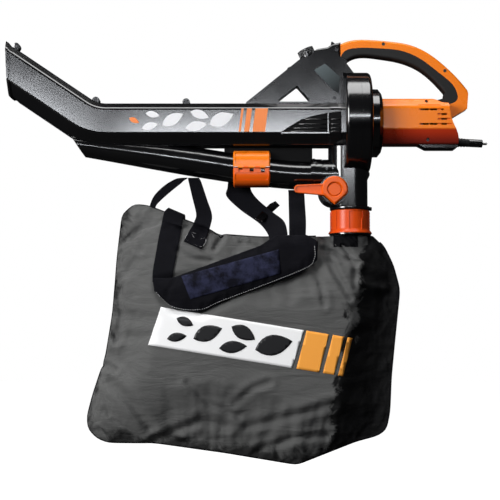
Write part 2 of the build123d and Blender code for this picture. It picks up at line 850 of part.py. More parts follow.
# ---------------------------------------------------------------- outlet and mode lever
body_middle_x = (tube_rear_x + seat_gap + fan_rear_x) / 2
body_long = fan_rear_x - tube_rear_x - seat_gap
room_half = outlet_half - wall - 1

# Chamber in which the flap swings, open to the duct on the left and to the bag below.
with BuildPart() as outlet_room:
    with BuildSketch(Plane.XY.offset(outlet_bottom_z)):
        with Locations((body_middle_x, 0)):
            RectangleRounded(body_long - 2 * wall - 2, 2 * room_half, outlet_round - wall - 1)
    extrude(amount=outlet_top_z - outlet_bottom_z)
    with BuildSketch(across(duct_rear_x + wall, duct_rear_z)):
        Circle(socket_radius - wall)
    extrude(amount=outlet_x - duct_rear_x)
    with BuildSketch(Plane.XZ):
        with Locations((lever_x, lever_z)):
            Circle(pivot_radius - wall - 0.5)
    extrude(amount=room_half, both=True)
    with BuildSketch(Plane.XZ) as chamber:
        with BuildLine():
            Polyline((tube_rear_x + 3, -268.0), (tube_rear_x + 3, -274.0), (-140.0, -276.0),
                     (-140.0, -346.0), (-138.0, -356.0), (-123.0, -372.0),
                     (outlet_x - spigot_radius + wall, outlet_bottom_z + 3),
                     (outlet_x + spigot_radius - wall, outlet_bottom_z + 3),
                     (outlet_x + spigot_radius - wall, -322.0), (-42.0, -312.0),
                     (-42.0, -268.0), close=True)
        make_face()
    extrude(amount=room_half, both=True, mode=Mode.INTERSECT)

with BuildPart() as outlet_form:
    with BuildSketch(Plane.XZ) as outlet_side:
        with BuildLine():
            Polyline((tube_rear_x + seat_gap, outlet_top_z), (tube_rear_x + seat_gap, -262.0),
                     (duct_rear_x + seat_gap, -269.0), (duct_rear_x + seat_gap, -344.0),
                     (-144.0, -358.0), (-132.0, -371.0), (-131.0, outlet_bottom_z),
                     (outlet_x + spigot_radius, outlet_bottom_z),
                     (outlet_x + spigot_radius, -320.0), (fan_rear_x, -306.0),
                     (fan_rear_x, -270.0), (-60.0, outlet_top_z), close=True)
        make_face()
    extrude(amount=outlet_half, both=True)
    # Seen from above the body is a round-ended tube.
    with BuildSketch(Plane.XY.offset(outlet_bottom_z)):
        with Locations((body_middle_x, 0)):
            RectangleRounded(body_long, 2 * outlet_half, outlet_round)
    extrude(amount=outlet_top_z - outlet_bottom_z, mode=Mode.INTERSECT)
    # The duct's socket runs into it level, like an elbow.
    with BuildSketch(across(duct_rear_x + seat_gap, duct_rear_z)):
        Circle(socket_radius)
    extrude(amount=outlet_x - duct_rear_x)
    # Round housing of the flap's shaft, right across the body.
    for radius, half in ((pivot_radius, outlet_half - 1.5), (pivot_radius - 1.5, outlet_half)):
        with BuildSketch(Plane.XZ):
            with Locations((lever_x, lever_z)):
                Circle(radius)
        extrude(amount=half, both=True)
    with BuildSketch(across(duct_rear_x - joint_ring, duct_rear_z + 1)):
        Circle(duct_size / 2 + 3 + seat_gap)
    extrude(amount=joint_ring + seat_gap, mode=Mode.SUBTRACT)
    # Recessed cover screw in the near side of the socket.
    with BuildSketch(Plane.XZ.offset(outlet_half)):
        with Locations((lever_x - 10.5, duct_rear_z + 14.0)):
            Circle(cover_screw_radius)
            Circle(cover_screw_radius - 3, mode=Mode.SUBTRACT)
    extrude(amount=-8.5, mode=Mode.SUBTRACT)
    add(outlet_room.part, mode=Mode.SUBTRACT)
    with BuildSketch(across(duct_rear_x, duct_rear_z)):
        Circle(duct_size / 2 - wall)
    extrude(amount=14, mode=Mode.SUBTRACT)
    with BuildSketch(across(fan_front_x - seat_gap, axis_z)):
        Circle(fan_radius + seat_gap)
    extrude(amount=fan_rear_x - fan_front_x + 1, mode=Mode.SUBTRACT)
    # Round spigot for the bag, with two bayonet lugs.
    with BuildSketch(Plane.XY.offset(spigot_bottom_z)):
        with Locations((outlet_x, 0)):
            Circle(spigot_radius)
    extrude(amount=outlet_bottom_z - spigot_bottom_z)
    with BuildSketch(Plane.XY.offset(lug_z)):
        with Locations((outlet_x, 0)):
            Circle(spigot_radius + lug_reach)
            Rectangle(2 * ring_radius, 12.0, mode=Mode.INTERSECT)
    extrude(amount=lug_height)
    with BuildSketch(Plane.XY.offset(spigot_bottom_z - 1)):
        with Locations((outlet_x, 0)):
            Circle(spigot_radius - wall)
    extrude(amount=outlet_bottom_z - spigot_bottom_z + 5, mode=Mode.SUBTRACT)
    # Bearing holes of the selector shaft.
    drill_across(((lever_x, lever_z),), lever_shaft_radius + shaft_gap, outlet_half + 1,
                 outlet_half - 1)

with BuildPart() as outlet_body_left:
    add(half_of(outlet_form.part, "left"))
with BuildPart() as outlet_body_right:
    add(half_of(outlet_form.part, "right"))

with BuildPart() as duct_joint_ring:
    with BuildSketch(across(duct_rear_x - joint_ring, duct_rear_z + 1)):
        Circle(duct_size / 2 + 3)
    extrude(amount=joint_ring - 2)
    # Raised bead with a catch on the near side.
    with BuildSketch(across(duct_rear_x - joint_ring, duct_rear_z + 1)):
        Circle(duct_size / 2 + 4.6)
    extrude(amount=6.0)
    with BuildSketch(across(duct_rear_x - joint_ring, duct_rear_z + 1)):
        with Locations(Location((0, 0), 138.0)):
            with Locations((duct_size / 2 + 3, 0)):
                RectangleRounded(6.0, 9.0, 1.5)
    extrude(amount=10.0)
    # Thin bead that stops the ring's travel on the duct.
    with BuildSketch(across(duct_rear_x - joint_ring - 5, duct_rear_z + 2)):
        Circle(duct_size / 2 + 1.6)
    extrude(amount=5.1)
    add(duct_solid(-seat_gap), mode=Mode.SUBTRACT)

with BuildPart() as selector_shaft:
    with BuildSketch(Plane.XZ.offset(outlet_half + 6)):
        with Locations((lever_x, lever_z)):
            Circle(lever_shaft_radius)
    extrude(amount=-(2 * outlet_half + 4))

with BuildPart() as diverter_flap:
    with BuildSketch(Plane.XZ):
        with Locations((lever_x, lever_z)):
            Circle(lever_shaft_radius + 3)
        with Locations((lever_x, lever_z + flap_reach / 2)):
            Rectangle(3.0, flap_reach)
        with Locations((lever_x, lever_z)):
            Circle(lever_shaft_radius + seat_gap, mode=Mode.SUBTRACT)
    extrude(amount=flap_half, both=True)

lever_face = outlet_half + run_gap
arm_tip_x = lever_x - lever_length + lever_tip_radius
flat_z = 0.32 * lever_hub_radius
flat_x = (lever_hub_radius ** 2 - flat_z ** 2) ** 0.5
arm_root = ((lever_x, lever_z - 16.5), (lever_x, lever_z + 14.5))


def arm_outline(inset):
    """Side outline of the lever's arm, drawn in from its edge by inset."""
    with BuildSketch(Plane.XZ.offset(lever_face)) as outline:
        with BuildLine():
            Polyline(arm_root[0], (arm_tip_x, lever_z + 1 - lever_tip_radius),
                     (arm_tip_x, lever_z + 1 + lever_tip_radius), arm_root[1], close=True)
        make_face()
        with Locations((arm_tip_x, lever_z + 1)):
            Circle(lever_tip_radius)
        if inset:
            offset(amount=-inset)
    return outline.sketch


with BuildPart() as lever_arm:
    extrude(arm_outline(0), amount=lever_thick - 1)
    fillet(lever_arm.faces().sort_by(Axis.Y)[0].edges(), radius=1.4)
    # Raised rims run along both edges, with the middle sunk between them.
    trough = extrude(arm_outline(lever_rim), amount=lever_thick, mode=Mode.PRIVATE)
    add(trough.moved(Location((0, -(lever_thick - 4), 0))), mode=Mode.SUBTRACT)

with BuildPart() as mode_lever:
    # Hub, round but for the two flats that meet in the pointer below.
    with BuildSketch(Plane.XZ.offset(lever_face)):
        with BuildLine():
            Polyline((lever_x + flat_x, lever_z - flat_z), (lever_x, lever_z - lever_point),
                     (lever_x - flat_x, lever_z - flat_z))
            ThreePointArc((lever_x - flat_x, lever_z - flat_z),
                          (lever_x, lever_z + lever_hub_radius),
                          (lever_x + flat_x, lever_z - flat_z))
        make_face()
    extrude(amount=lever_thick)
    chamfer(mode_lever.faces().sort_by(Axis.Y)[0].edges(), length=lever_bevel)
    add(lever_arm.part)
    with BuildSketch(Plane.XZ.offset(lever_face + lever_thick - 6)):
        with Locations((lever_x, lever_z)):
            Circle(cap_radius + 1.2)
    extrude(amount=10, mode=Mode.SUBTRACT)
    well_rim = mode_lever.faces().sort_by(Axis.Y)[0].edges().filter_by(GeomType.CIRCLE)
    chamfer(well_rim.sort_by(SortBy.RADIUS)[0], length=2.5)
    # Notch that marks the lever's place against the housing.
    with BuildSketch(Plane.XZ.offset(lever_face + lever_thick - 4)):
        with Locations(Location((lever_x + 26.5, lever_z - 6.5), 35.0)):
            SlotOverall(9.0, 2.2)
    extrude(amount=10, mode=Mode.SUBTRACT)
    drill_across(((lever_x, lever_z),), lever_shaft_radius + seat_gap, 60.0, 0.0)

with BuildPart() as lever_cap:
    with BuildSketch(Plane.XZ.offset(lever_face + lever_thick - 6 + seat_gap)):
        with Locations((lever_x, lever_z)):
            Circle(cap_radius)
    extrude(amount=4.0)
    fillet(lever_cap.faces().sort_by(Axis.Y)[0].edges(), radius=1.2)

# ---------------------------------------------------------------- clip on the blow duct
clip_length = clip_rear_x - clip_front_x
clip_middle_z = (clip_top_z + clip_bottom_z) / 2
clip_clear = duct_solid(-run_gap)
knuckle_pitch = clip_length / 6.6


def clip_sleeve():
    """The whole clip before it is parted: a soft-cornered sleeve round the duct."""
    with BuildPart() as sleeve:
        with BuildSketch(across(clip_front_x, clip_middle_z)):
            RectangleRounded(2 * clip_half, clip_top_z - clip_bottom_z, clip_half - 14)
        extrude(amount=clip_length)
        chamfer(sleeve.faces().filter_by(Axis.X).edges(), length=3.0)
        add(clip_clear, mode=Mode.SUBTRACT)
    return sleeve.part


def clip_panel(z, height):
    """Shallow panel that follows the sleeve's near flank, to be cut from it."""
    with BuildPart() as panel:
        with BuildSketch(Plane.XZ):
            with Locations((clip_front_x + clip_length / 2, z)):
                RectangleRounded(clip_length - 9, height, 5.0)
        extrude(amount=2 * clip_half)
        with BuildSketch(across(clip_front_x, clip_middle_z)):
            RectangleRounded(2 * (clip_half - clip_recess),
                             clip_top_z - clip_bottom_z - 2 * clip_recess,
                             clip_half - 14 - clip_recess)
        extrude(amount=clip_length, mode=Mode.SUBTRACT)
    return panel.part


def clip_knuckles(first, count, grow=0.0):
    """Hinge knuckles along the near edge, every second place from the first."""
    with BuildPart() as knuckles:
        for i in range(count):
            x = clip_front_x + clip_length / 2 + knuckle_pitch * (first + 2 * i - 3.5)
            with BuildSketch(across(x + run_gap - grow, clip_split_z)):
                with Locations((-clip_half - 1, 0)):
                    Circle(clip_pin_radius + 1.6 + grow)
            extrude(amount=knuckle_pitch - 2 * run_gap + 2 * grow)
    return knuckles.part


def hinge_rod(radius):
    """Round rod along the hinge line."""
    with BuildPart() as rod:
        with BuildSketch(across(clip_front_x + 1, clip_split_z)):
            with Locations((-clip_half - 1, 0)):
                Circle(radius)
        extrude(amount=clip_length - 2)
    return rod.part


sleeve = clip_sleeve()
base_places = (1, 3)
flap_places = (2, 2)
pin_hole = hinge_rod(clip_pin_radius + shaft_gap)

with BuildPart() as tube_clip_base:
    add(sleeve)
    with Locations((clip_front_x + clip_length / 2, 0, clip_split_z + run_gap)):
        Box(clip_length, 3 * clip_half, 100, align=(Align.CENTER, Align.CENTER, Align.MIN),
            mode=Mode.INTERSECT)
    add(clip_knuckles(*flap_places, grow=run_gap), mode=Mode.SUBTRACT)
    add(clip_knuckles(*base_places))
    add(pin_hole, mode=Mode.SUBTRACT)
    add(clip_panel((clip_top_z + clip_split_z) / 2, clip_top_z - clip_split_z - 12),
        mode=Mode.SUBTRACT)

with BuildPart() as tube_clip_flap:
    add(sleeve)
    with Locations((clip_front_x + clip_length / 2, 0, clip_split_z - run_gap)):
        Box(clip_length, 3 * clip_half, 100, align=(Align.CENTER, Align.CENTER, Align.MAX),
            mode=Mode.INTERSECT)
    # The flap swings past the widest part of the duct, so its bore is eased.
    add(duct_solid(-swing_gap), mode=Mode.SUBTRACT)
    # Finger notches under the base's knuckles.
    with BuildSketch(Plane.XZ.offset(clip_half - 2.5)):
        with Locations(*[(clip_front_x + clip_length / 2 + 2 * knuckle_pitch * i,
                          clip_split_z - run_gap - 6.0) for i in (-1, 0, 1)]):
            Rectangle(knuckle_pitch - 4, 12.0)
    extrude(amount=10, mode=Mode.SUBTRACT)
    add(clip_panel(clip_split_z - 22.0, 17.0), mode=Mode.SUBTRACT)
    add(clip_knuckles(*base_places, grow=run_gap), mode=Mode.SUBTRACT)
    add(clip_knuckles(*flap_places))
    add(pin_hole, mode=Mode.SUBTRACT)

with BuildPart() as clip_pin:
    add(hinge_rod(clip_pin_radius))

# ---------------------------------------------------------------- mains inlet
with BuildPart() as cable_boot:
    with BuildSketch(tail_plane.offset(seat_gap + 1.0)):
        Circle(boot_radius)
    with BuildSketch(tail_plane.offset(boot_length)):
        Circle(plug_radius)
    loft()
    with BuildSketch(tail_plane.offset(-boot_socket)):
        Circle(boot_neck)
    extrude(amount=boot_socket + 2)
    for step in range(3):
        with BuildSketch(tail_plane.offset(7.0 + 7.0 * step)):
            Circle(boot_radius + 2)
            Circle(plug_radius - 0.6, mode=Mode.SUBTRACT)
        extrude(amount=2.5, mode=Mode.SUBTRACT)

with BuildPart() as inlet_plug:
    with BuildSketch(tail_plane.offset(boot_length + seat_gap)):
        Circle(plug_radius)
    extrude(amount=plug_length)
    chamfer(inlet_plug.faces().sort_by(Axis.X)[-1].edges(), length=1.0)
    with BuildSketch(tail_plane.offset(boot_length + plug_length - 6)):
        with Locations((-4.5, 0), (4.5, 0)):
            Circle(pin_radius + shaft_gap)
    extrude(amount=10, mode=Mode.SUBTRACT)

with BuildPart() as plug_pins:
    with BuildSketch(tail_plane.offset(boot_length + plug_length - 6)):
        with Locations((-4.5, 0), (4.5, 0)):
            Circle(pin_radius)
    extrude(amount=6 + pin_length)

with BuildPart() as housing_screws:
    screws(handle_screws, grip_half)
    screws(strut_screws, strut_half)
    screws(motor_screws, post_seat)

# ---------------------------------------------------------------- outlet ring, collar, bag
button_z = (outlet_bottom_z + ring_bottom_z) / 2

with BuildPart() as outlet_ring:
    with BuildSketch(Plane.XY.offset(ring_bottom_z)):
        with Locations((outlet_x, 0)):
            Circle(ring_radius)
            Circle(spigot_radius + seat_gap, mode=Mode.SUBTRACT)
    extrude(amount=outlet_bottom_z - seat_gap - ring_bottom_z)
    ring_rims = outlet_ring.edges().filter_by(GeomType.CIRCLE).group_by(SortBy.RADIUS)[-1]
    fillet(ring_rims, radius=4.0)
    with BuildSketch(across(outlet_x + ring_radius - 4.5, button_z)):
        Circle(button_radius + run_gap)
    extrude(amount=10, mode=Mode.SUBTRACT)
    with BuildSketch(across(outlet_x + spigot_radius - 2, button_z)):
        Circle(button_stem + shaft_gap)
    extrude(amount=10, mode=Mode.SUBTRACT)

with BuildPart() as lock_button:
    with BuildSketch(across(outlet_x + ring_radius - 1.2, button_z)):
        Circle(button_radius)
    extrude(amount=5.0)
    fillet(lock_button.faces().sort_by(Axis.X)[-1].edges(), radius=2.0)
    with BuildSketch(across(outlet_x + ring_radius - 5.4, button_z)):
        Circle(button_stem)
    extrude(amount=5.0)

# Shallow curved step in the collar's near face, over the bayonet's track.
with BuildPart() as turn_window:
    with BuildSketch(Plane.XZ):
        with BuildLine():
            Spline((outlet_x - 1.0, ring_bottom_z - 3.0), (outlet_x + 1.5, ring_bottom_z - 11.0),
                   (outlet_x + 11.0, ring_bottom_z - 18.5), (outlet_x + 27.0, ring_bottom_z - 22.0))
            Polyline((outlet_x + 27.0, ring_bottom_z - 22.0), (outlet_x + 27.0, ring_bottom_z - 3.0),
                     (outlet_x - 1.0, ring_bottom_z - 3.0))
        make_face()
    extrude(amount=2 * collar_radius)
    with BuildSketch(Plane.XY.offset(collar_bottom_z)):
        with Locations((outlet_x, 0)):
            Circle(collar_radius - 1.2)
    extrude(amount=ring_bottom_z - collar_bottom_z, mode=Mode.SUBTRACT)

with BuildPart() as bag_collar:
    with BuildSketch(Plane.XZ):
        with BuildLine():
            Polyline((outlet_x + spigot_radius + run_gap, ring_bottom_z - run_gap),
                     (outlet_x + collar_radius - 1, ring_bottom_z - run_gap),
                     (outlet_x + collar_radius, ring_bottom_z - run_gap - 1),
                     (outlet_x + collar_radius, collar_bottom_z + 10),
                     (outlet_x + collar_flare, collar_bottom_z + 2),
                     (outlet_x + collar_flare, collar_bottom_z),
                     (outlet_x + spigot_radius + run_gap, collar_bottom_z), close=True)
        make_face()
    revolve(axis=Axis((outlet_x, 0, 0), (0, 0, 1)))
    with BuildSketch(Plane.XY.offset(collar_bottom_z)):
        with Locations((outlet_x, 0)):
            with PolarLocations(collar_radius, rib_count, start_angle=-98.0):
                Rectangle(2 * collar_rib, 2.6)
    extrude(amount=ring_bottom_z - run_gap - collar_bottom_z - 3)
    # Knurled grips at both ends.
    for i in range(6):
        with BuildSketch(Plane.XY.offset(collar_bottom_z + 11.0 + 7.2 * i)):
            with Locations((outlet_x, 0)):
                Circle(collar_radius + 1.4)
                Rectangle(4 * collar_radius, 26.0, mode=Mode.INTERSECT)
        extrude(amount=3.6)
    add(turn_window.part, mode=Mode.SUBTRACT)
    with BuildSketch(Plane.XY.offset(lug_z - run_gap)):
        with Locations((outlet_x, 0)):
            Circle(spigot_radius + lug_reach + run_gap)
    extrude(amount=lug_height + 2 * run_gap, mode=Mode.SUBTRACT)
    with BuildSketch(Plane.XY.offset(lug_z)) as entry:
        with Locations((outlet_x, 0)):
            Circle(spigot_radius + lug_reach + run_gap)
            Rectangle(2 * ring_radius, 14.0, rotation=collar_twist, mode=Mode.INTERSECT)
    extrude(entry.sketch, amount=30, mode=Mode.SUBTRACT)
    with BuildSketch(Plane.XY.offset(collar_bottom_z - 1)):
        with Locations((outlet_x, 0)):
            Circle(spigot_radius + run_gap)
    extrude(amount=70, mode=Mode.SUBTRACT)

with BuildPart() as bag_neck_ring:
    with BuildSketch(Plane.XY.offset(collar_bottom_z - run_gap)):
        with Locations((outlet_x, 0)):
            Circle(collar_flare - 2)
            Circle(spigot_radius - wall, mode=Mode.SUBTRACT)
    extrude(amount=-3.0)
    with BuildSketch(Plane.XY.offset(collar_bottom_z - run_gap - 1)):
        with Locations((outlet_x, 0)):
            Circle(spigot_radius)
            Circle(spigot_radius - wall, mode=Mode.SUBTRACT)
    extrude(amount=spigot_bottom_z - 1 - collar_bottom_z + run_gap + 1)

bag_top_z = collar_bottom_z - run_gap - 3.0 - run_gap
bag_outline = (
    (-602.0, -377.0), (-630.0, -401.0), (-641.0, -500.0), (-651.0, -637.0), (-667.0, -739.0),
    (-697.0, -831.0), (-711.0, -886.0), (-707.0, -911.0), (-688.0, -932.0), (-661.0, -943.0),
    (-547.0, -944.0), (-382.0, -967.0), (-213.0, -995.0), (-72.5, -940.0), (-20.0, -926.0),
    (-1.0, -912.0), (7.4, -871.0), (11.5, -788.0), (20.0, -706.0), (33.6, -581.0),
    (18.5, -523.0), (-3.6, -477.0), (-30.0, bag_top_z), (-300.0, -456.0), (-394.0, -449.0),
    (-465.0, -420.0), (-529.0, -395.5), (-569.0, -380.0),
)


with BuildPart() as bag:
    with BuildSketch(Plane.XZ) as bag_face:
        with BuildLine():
            Polyline(*bag_outline, close=True)
        make_face()
    extrude(amount=bag_edge_half, both=True)
    for direction in (-1, 1):
        with BuildSketch(Plane.XZ.offset(direction * bag_edge_half)) as panel:
            add(bag_face.sketch_local)
        extrude(amount=direction * (bag_half - bag_edge_half), taper=bag_taper)
    # The neck, gathered under the collar.
    with BuildSketch(Plane.XY.offset(bag_top_z)):
        with Locations((outlet_x, 0)):
            Circle(collar_flare - 4)
    extrude(amount=-90.0)

with BuildPart() as neck_patch:
    with BuildSketch(Plane.XZ.offset(collar_flare - 3)):
        with Locations((-97.0, bag_top_z - 14.0)):
            Rectangle(54.0, 27.0)
    extrude(amount=webbing)

# ---------------------------------------------------------------- webbing and shoulder pad


def band(points, thickness):
    """Webbing that runs across the machine: a thick line in Y and Z, as wide as the machine."""
    with BuildPart() as sheet:
        with BuildSketch(Plane.YZ.offset(-reach * 1.5)):
            with BuildLine():
                Polyline(*points)
            trace(line_width=thickness)
        extrude(amount=reach * 2)
    return sheet.part


def curtain(outline):
    """Full-depth block with the side outline of a strap."""
    with BuildPart() as block:
        with BuildSketch(Plane.XZ):
            with BuildLine():
                Polyline(*outline, close=True)
            make_face()
        extrude(amount=2 * outlet_half + 40, both=True)
    return block.part


face_y = -(bag_half + run_gap + webbing / 2)        # webbing that lies on the near face
clip_side_y = clip_half + run_gap + webbing / 2     # webbing on the far flank of the clip
near_band = ((6.0, -313.1), (-12.0, -313.1), (-9.8, -415.0), (-52.4, -468.0), (-54.4, -492.0))
far_band = ((-16.0, -308.9), (12.0, -308.9), (9.8, -379.0), (20.6, -397.0))
front_band = ((10.0, -386.0), (-2.0, -386.0), (face_y, -456.4), (face_y, -600.0))
cross_band = ((clip_side_y, -262.0), (clip_side_y, -362.0), (face_y, -446.0), (face_y, -560.0))
tail_band = ((14.0, -343.1), (-12.0, -343.1), (-36.0, -385.0), (face_y, -425.0),
             (face_y, -560.0))
front_outline = ((-524.0, -380.0), (-484.0, -398.0), (-487.0, -440.0), (-508.0, -555.6),
                 (-551.0, -555.6), (-541.0, -480.0), (-529.0, -400.0))
diagonal_outline = ((-377.0, -316.0), (-362.0, -268.0), (-322.0, -268.0), (-322.0, -330.0),
                    (-309.0, -350.0), (-278.0, -382.0), (-236.0, -424.0), (-236.0, -454.6),
                    (-262.0, -454.6), (-281.0, -466.8), (-304.0, -416.0), (-381.0, -346.0))
tail_outline = ((-232.0, -334.0), (-194.0, -334.0), (-196.0, -454.6), (-233.0, -454.6))
diagonal_clear = ((-390.0, -322.0), (-384.0, -348.0), (-307.0, -419.0), (-262.0, -456.0),
                  (-232.0, -424.0), (-275.0, -379.0), (-306.0, -347.0), (-319.0, -322.0))
buckle_outline = ((-276.0, -372.0), (-262.0, -364.0), (-252.0, -376.0), (-296.0, -420.0),
                  (-312.0, -412.0))

with BuildPart() as strap_buckle:
    add(band(cross_band, 7.0))
    add(curtain(buckle_outline), mode=Mode.INTERSECT)
    add(band(cross_band, webbing + 1.0) & curtain(diagonal_clear), mode=Mode.SUBTRACT)

with BuildPart() as hanger_strap_near:
    add(band(near_band, webbing))
    add(curtain(((-473.0, -306.0), (-466.0, -343.0), (-452.0, -409.0), (-462.0, -419.0),
                 (-481.0, -468.0), (-439.0, -487.0), (-421.0, -436.0), (-415.0, -399.0),
                 (-436.0, -331.0), (-447.0, -306.0))), mode=Mode.INTERSECT)
with BuildPart() as hanger_strap_far:
    add(band(far_band, webbing))
    add(curtain(((-480.0, -304.0), (-505.0, -310.0), (-532.0, -326.0), (-559.0, -355.0),
                 (-568.0, -376.0), (-569.0, -391.0), (-551.0, -391.0), (-544.0, -370.0),
                 (-517.0, -347.0), (-470.0, -314.0), (-470.0, -304.0))), mode=Mode.INTERSECT)
with BuildPart() as shoulder_strap_front:
    add(band(front_band, webbing))
    add(curtain(front_outline), mode=Mode.INTERSECT)
with BuildPart() as shoulder_strap_rear:
    add(band(cross_band, webbing))
    add(curtain(diagonal_outline), mode=Mode.INTERSECT)
with BuildPart() as shoulder_strap_tail:
    add(band(tail_band, webbing))
    add(curtain(tail_outline), mode=Mode.INTERSECT)
with BuildPart() as shoulder_pad:
    with BuildSketch(Plane.XZ.offset(bag_half + run_gap)):
        with BuildLine():
            FilletPolyline((-552.0, -556.0), (-508.0, -556.0), (-301.0, -480.0), (-262.0, -455.0),
                           (-190.0, -455.0), (-165.0, -470.0), (-166.0, -515.0),
                           (-204.0, -546.0), (-368.0, -605.0), (-441.0, -638.0),
                           (-500.0, -630.0), (-548.0, -588.0), radius=6.0, close=True)
        make_face()
    extrude(amount=pad_thick)

pieces = {
    "tube_clip_base": tube_clip_base,
    "tube_clip_flap": tube_clip_flap,
    "clip_pin": clip_pin,
    "cable_boot": cable_boot,
    "inlet_plug": inlet_plug,
    "plug_pins": plug_pins,
    "housing_screws": housing_screws,
    "strap_buckle": strap_buckle,
    "nozzle_shell_left": nozzle_shell_left,
    "nozzle_shell_right": nozzle_shell_right,
    "nozzle_tip_ring": nozzle_tip_ring,
    "tube_screws": tube_fasteners,
    "fan_housing_front": fan_housing_front,
    "fan_housing_rear": fan_housing_rear,
    "motor_ring": motor_ring,
    "grip_insert": grip_insert,
    "motor_housing_left": motor_housing_left,
    "motor_housing_right": motor_housing_right,
    "foot": foot,
    "motor_shaft": motor_shaft,
    "impeller": impeller,
    "impeller_nut": impeller_nut,
    "armature": armature,
    "commutator": commutator,
    "cooling_fan": cooling_fan,
    "stator": stator,
    "brush_ring": brush_ring,
    "carbon_brushes": carbon_brushes,
    "front_bearing": front_bearing,
    "rear_bearing": rear_bearing,
    "rear_strut_left": rear_strut_left,
    "rear_strut_right": rear_strut_right,
    "dial_base": dial_base,
    "speed_dial": speed_dial,
    "switch_slider": switch_slider,
    "switch_module": switch_module,
    "outlet_body_left": outlet_body_left,
    "outlet_body_right": outlet_body_right,
    "duct_joint_ring": duct_joint_ring,
    "selector_shaft": selector_shaft,
    "diverter_flap": diverter_flap,
    "mode_lever": mode_lever,
    "lever_cap": lever_cap,
    "outlet_ring": outlet_ring,
    "lock_button": lock_button,
    "bag_collar": bag_collar,
    "bag_neck_ring": bag_neck_ring,
    "bag": bag,
    "neck_patch": neck_patch,
    "hanger_strap_near": hanger_strap_near,
    "hanger_strap_far": hanger_strap_far,
    "shoulder_strap_front": shoulder_strap_front,
    "shoulder_strap_rear": shoulder_strap_rear,
    "shoulder_strap_tail": shoulder_strap_tail,
    "shoulder_pad": shoulder_pad,
}

for name, piece in pieces.items():
    piece.part.label = name
    export_step(piece.part, f"parts/{name}.step")
    print(name, len(piece.part.solids()), round(piece.part.volume), piece.part.is_valid)
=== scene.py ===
import json
import math
import random

import bmesh
import bpy
import numpy as np
from mathutils import Matrix, Vector
from mathutils.bvhtree import BVHTree
from mathutils.noise import noise


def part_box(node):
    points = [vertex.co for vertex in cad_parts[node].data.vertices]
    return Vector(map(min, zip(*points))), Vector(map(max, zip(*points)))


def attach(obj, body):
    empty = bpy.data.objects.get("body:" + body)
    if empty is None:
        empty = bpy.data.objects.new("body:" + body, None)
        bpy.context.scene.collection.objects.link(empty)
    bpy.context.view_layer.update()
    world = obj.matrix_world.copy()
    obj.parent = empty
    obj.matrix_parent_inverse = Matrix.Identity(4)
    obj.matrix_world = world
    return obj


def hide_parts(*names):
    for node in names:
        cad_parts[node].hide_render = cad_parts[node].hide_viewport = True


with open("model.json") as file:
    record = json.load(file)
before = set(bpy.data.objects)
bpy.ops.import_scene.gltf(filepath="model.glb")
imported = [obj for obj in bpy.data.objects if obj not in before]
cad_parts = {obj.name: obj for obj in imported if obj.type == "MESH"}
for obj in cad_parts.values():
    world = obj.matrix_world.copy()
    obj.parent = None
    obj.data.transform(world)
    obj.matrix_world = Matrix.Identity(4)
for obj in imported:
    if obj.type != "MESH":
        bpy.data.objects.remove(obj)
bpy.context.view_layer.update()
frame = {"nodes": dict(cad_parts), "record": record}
nodes = frame["nodes"]
scene = bpy.context.scene

# %% [markdown]
# # The studio
# The blower hangs by its grip above a pale floor. Two thin strip lamps stand above and
# behind the camera, one of them rolled to run along the bent nose: the flat side of the
# tube mirrors them along its lower edge and fades to black above. A lamp overhead draws the
# gleams along the duct and the tops, and a key light from the left shapes the bag without
# shining back from the flat sides. The world is white to the eye and nearly dark to all
# else, so black stays black.

# %% Camera
middle = Vector((-0.324, 0.0, -0.486))
tilt = math.radians(-4.0)
camera_data = bpy.data.cameras.new("portrait_camera")
camera_data.lens = 90.0
camera_data.sensor_width = 36.0
camera = bpy.data.objects.new("portrait_camera", camera_data)
scene.collection.objects.link(camera)
camera.location = middle + Vector((0.0, -3.0 * math.cos(tilt), 3.0 * math.sin(tilt)))
camera.rotation_euler = (math.radians(90.0) - tilt, 0.0, 0.0)
scene.camera = camera
scene.view_settings.view_transform = "Standard"
print("camera at", [round(v, 3) for v in camera.location])


# %% Soft boxes
def soft_box(name, place, aim, size, watts, tint=(1.0, 1.0, 1.0), roll=0.0):
    """A rectangular lamp at place that faces aim, rolled by that many degrees."""
    lamp = bpy.data.lights.new(name, "AREA")
    lamp.shape = "RECTANGLE"
    lamp.size, lamp.size_y = size
    lamp.energy = watts
    lamp.color = tint
    holder = bpy.data.objects.new(name, lamp)
    scene.collection.objects.link(holder)
    holder.location = place
    turn = (Vector(aim) - Vector(place)).to_track_quat("-Z", "Y").to_matrix()
    holder.rotation_euler = (turn @ Matrix.Rotation(math.radians(roll), 3, "Z")).to_euler()
    return holder


strip_y, cool = -3.3, (0.92, 0.95, 1.0)
for name, x, z, size, watts, roll in (("front_strip", -0.26, 0.275, (1.40, 0.09), 14.0, 0.0),
                                      ("nose_strip", -1.40, 0.41, (0.66, 0.09), 5.4, -31.0)):
    soft_box(name, (x, strip_y, z), (x, 0.0, z), size, watts, cool, roll)
soft_box("overhead_box", (-0.35, -0.45, 1.75), (-0.35, 0.0, -0.3), (2.2, 1.2), 46.0)
soft_box("left_key", (-2.9, -2.5, 0.45), (-0.3, 0.0, -0.45), (1.5, 1.8), 140.0)


# %% Nodes made in one line
def add_node(tree, kind, inputs=None, **settings):
    """A shader node: settings are its options, inputs are values or sockets to plug in."""
    node = tree.nodes.new(kind)
    for name, value in settings.items():
        setattr(node, name, value)
    for name, value in (inputs or {}).items():
        if isinstance(value, bpy.types.NodeSocket):
            tree.links.new(value, node.inputs[name])
        else:
            node.inputs[name].default_value = value
    return node


def calculate(tree, operation, first, second=0.0, clamp=False):
    """A Math node's result."""
    node = add_node(tree, "ShaderNodeMath", {0: first, 1: second}, operation=operation)
    node.use_clamp = clamp
    return node.outputs[0]


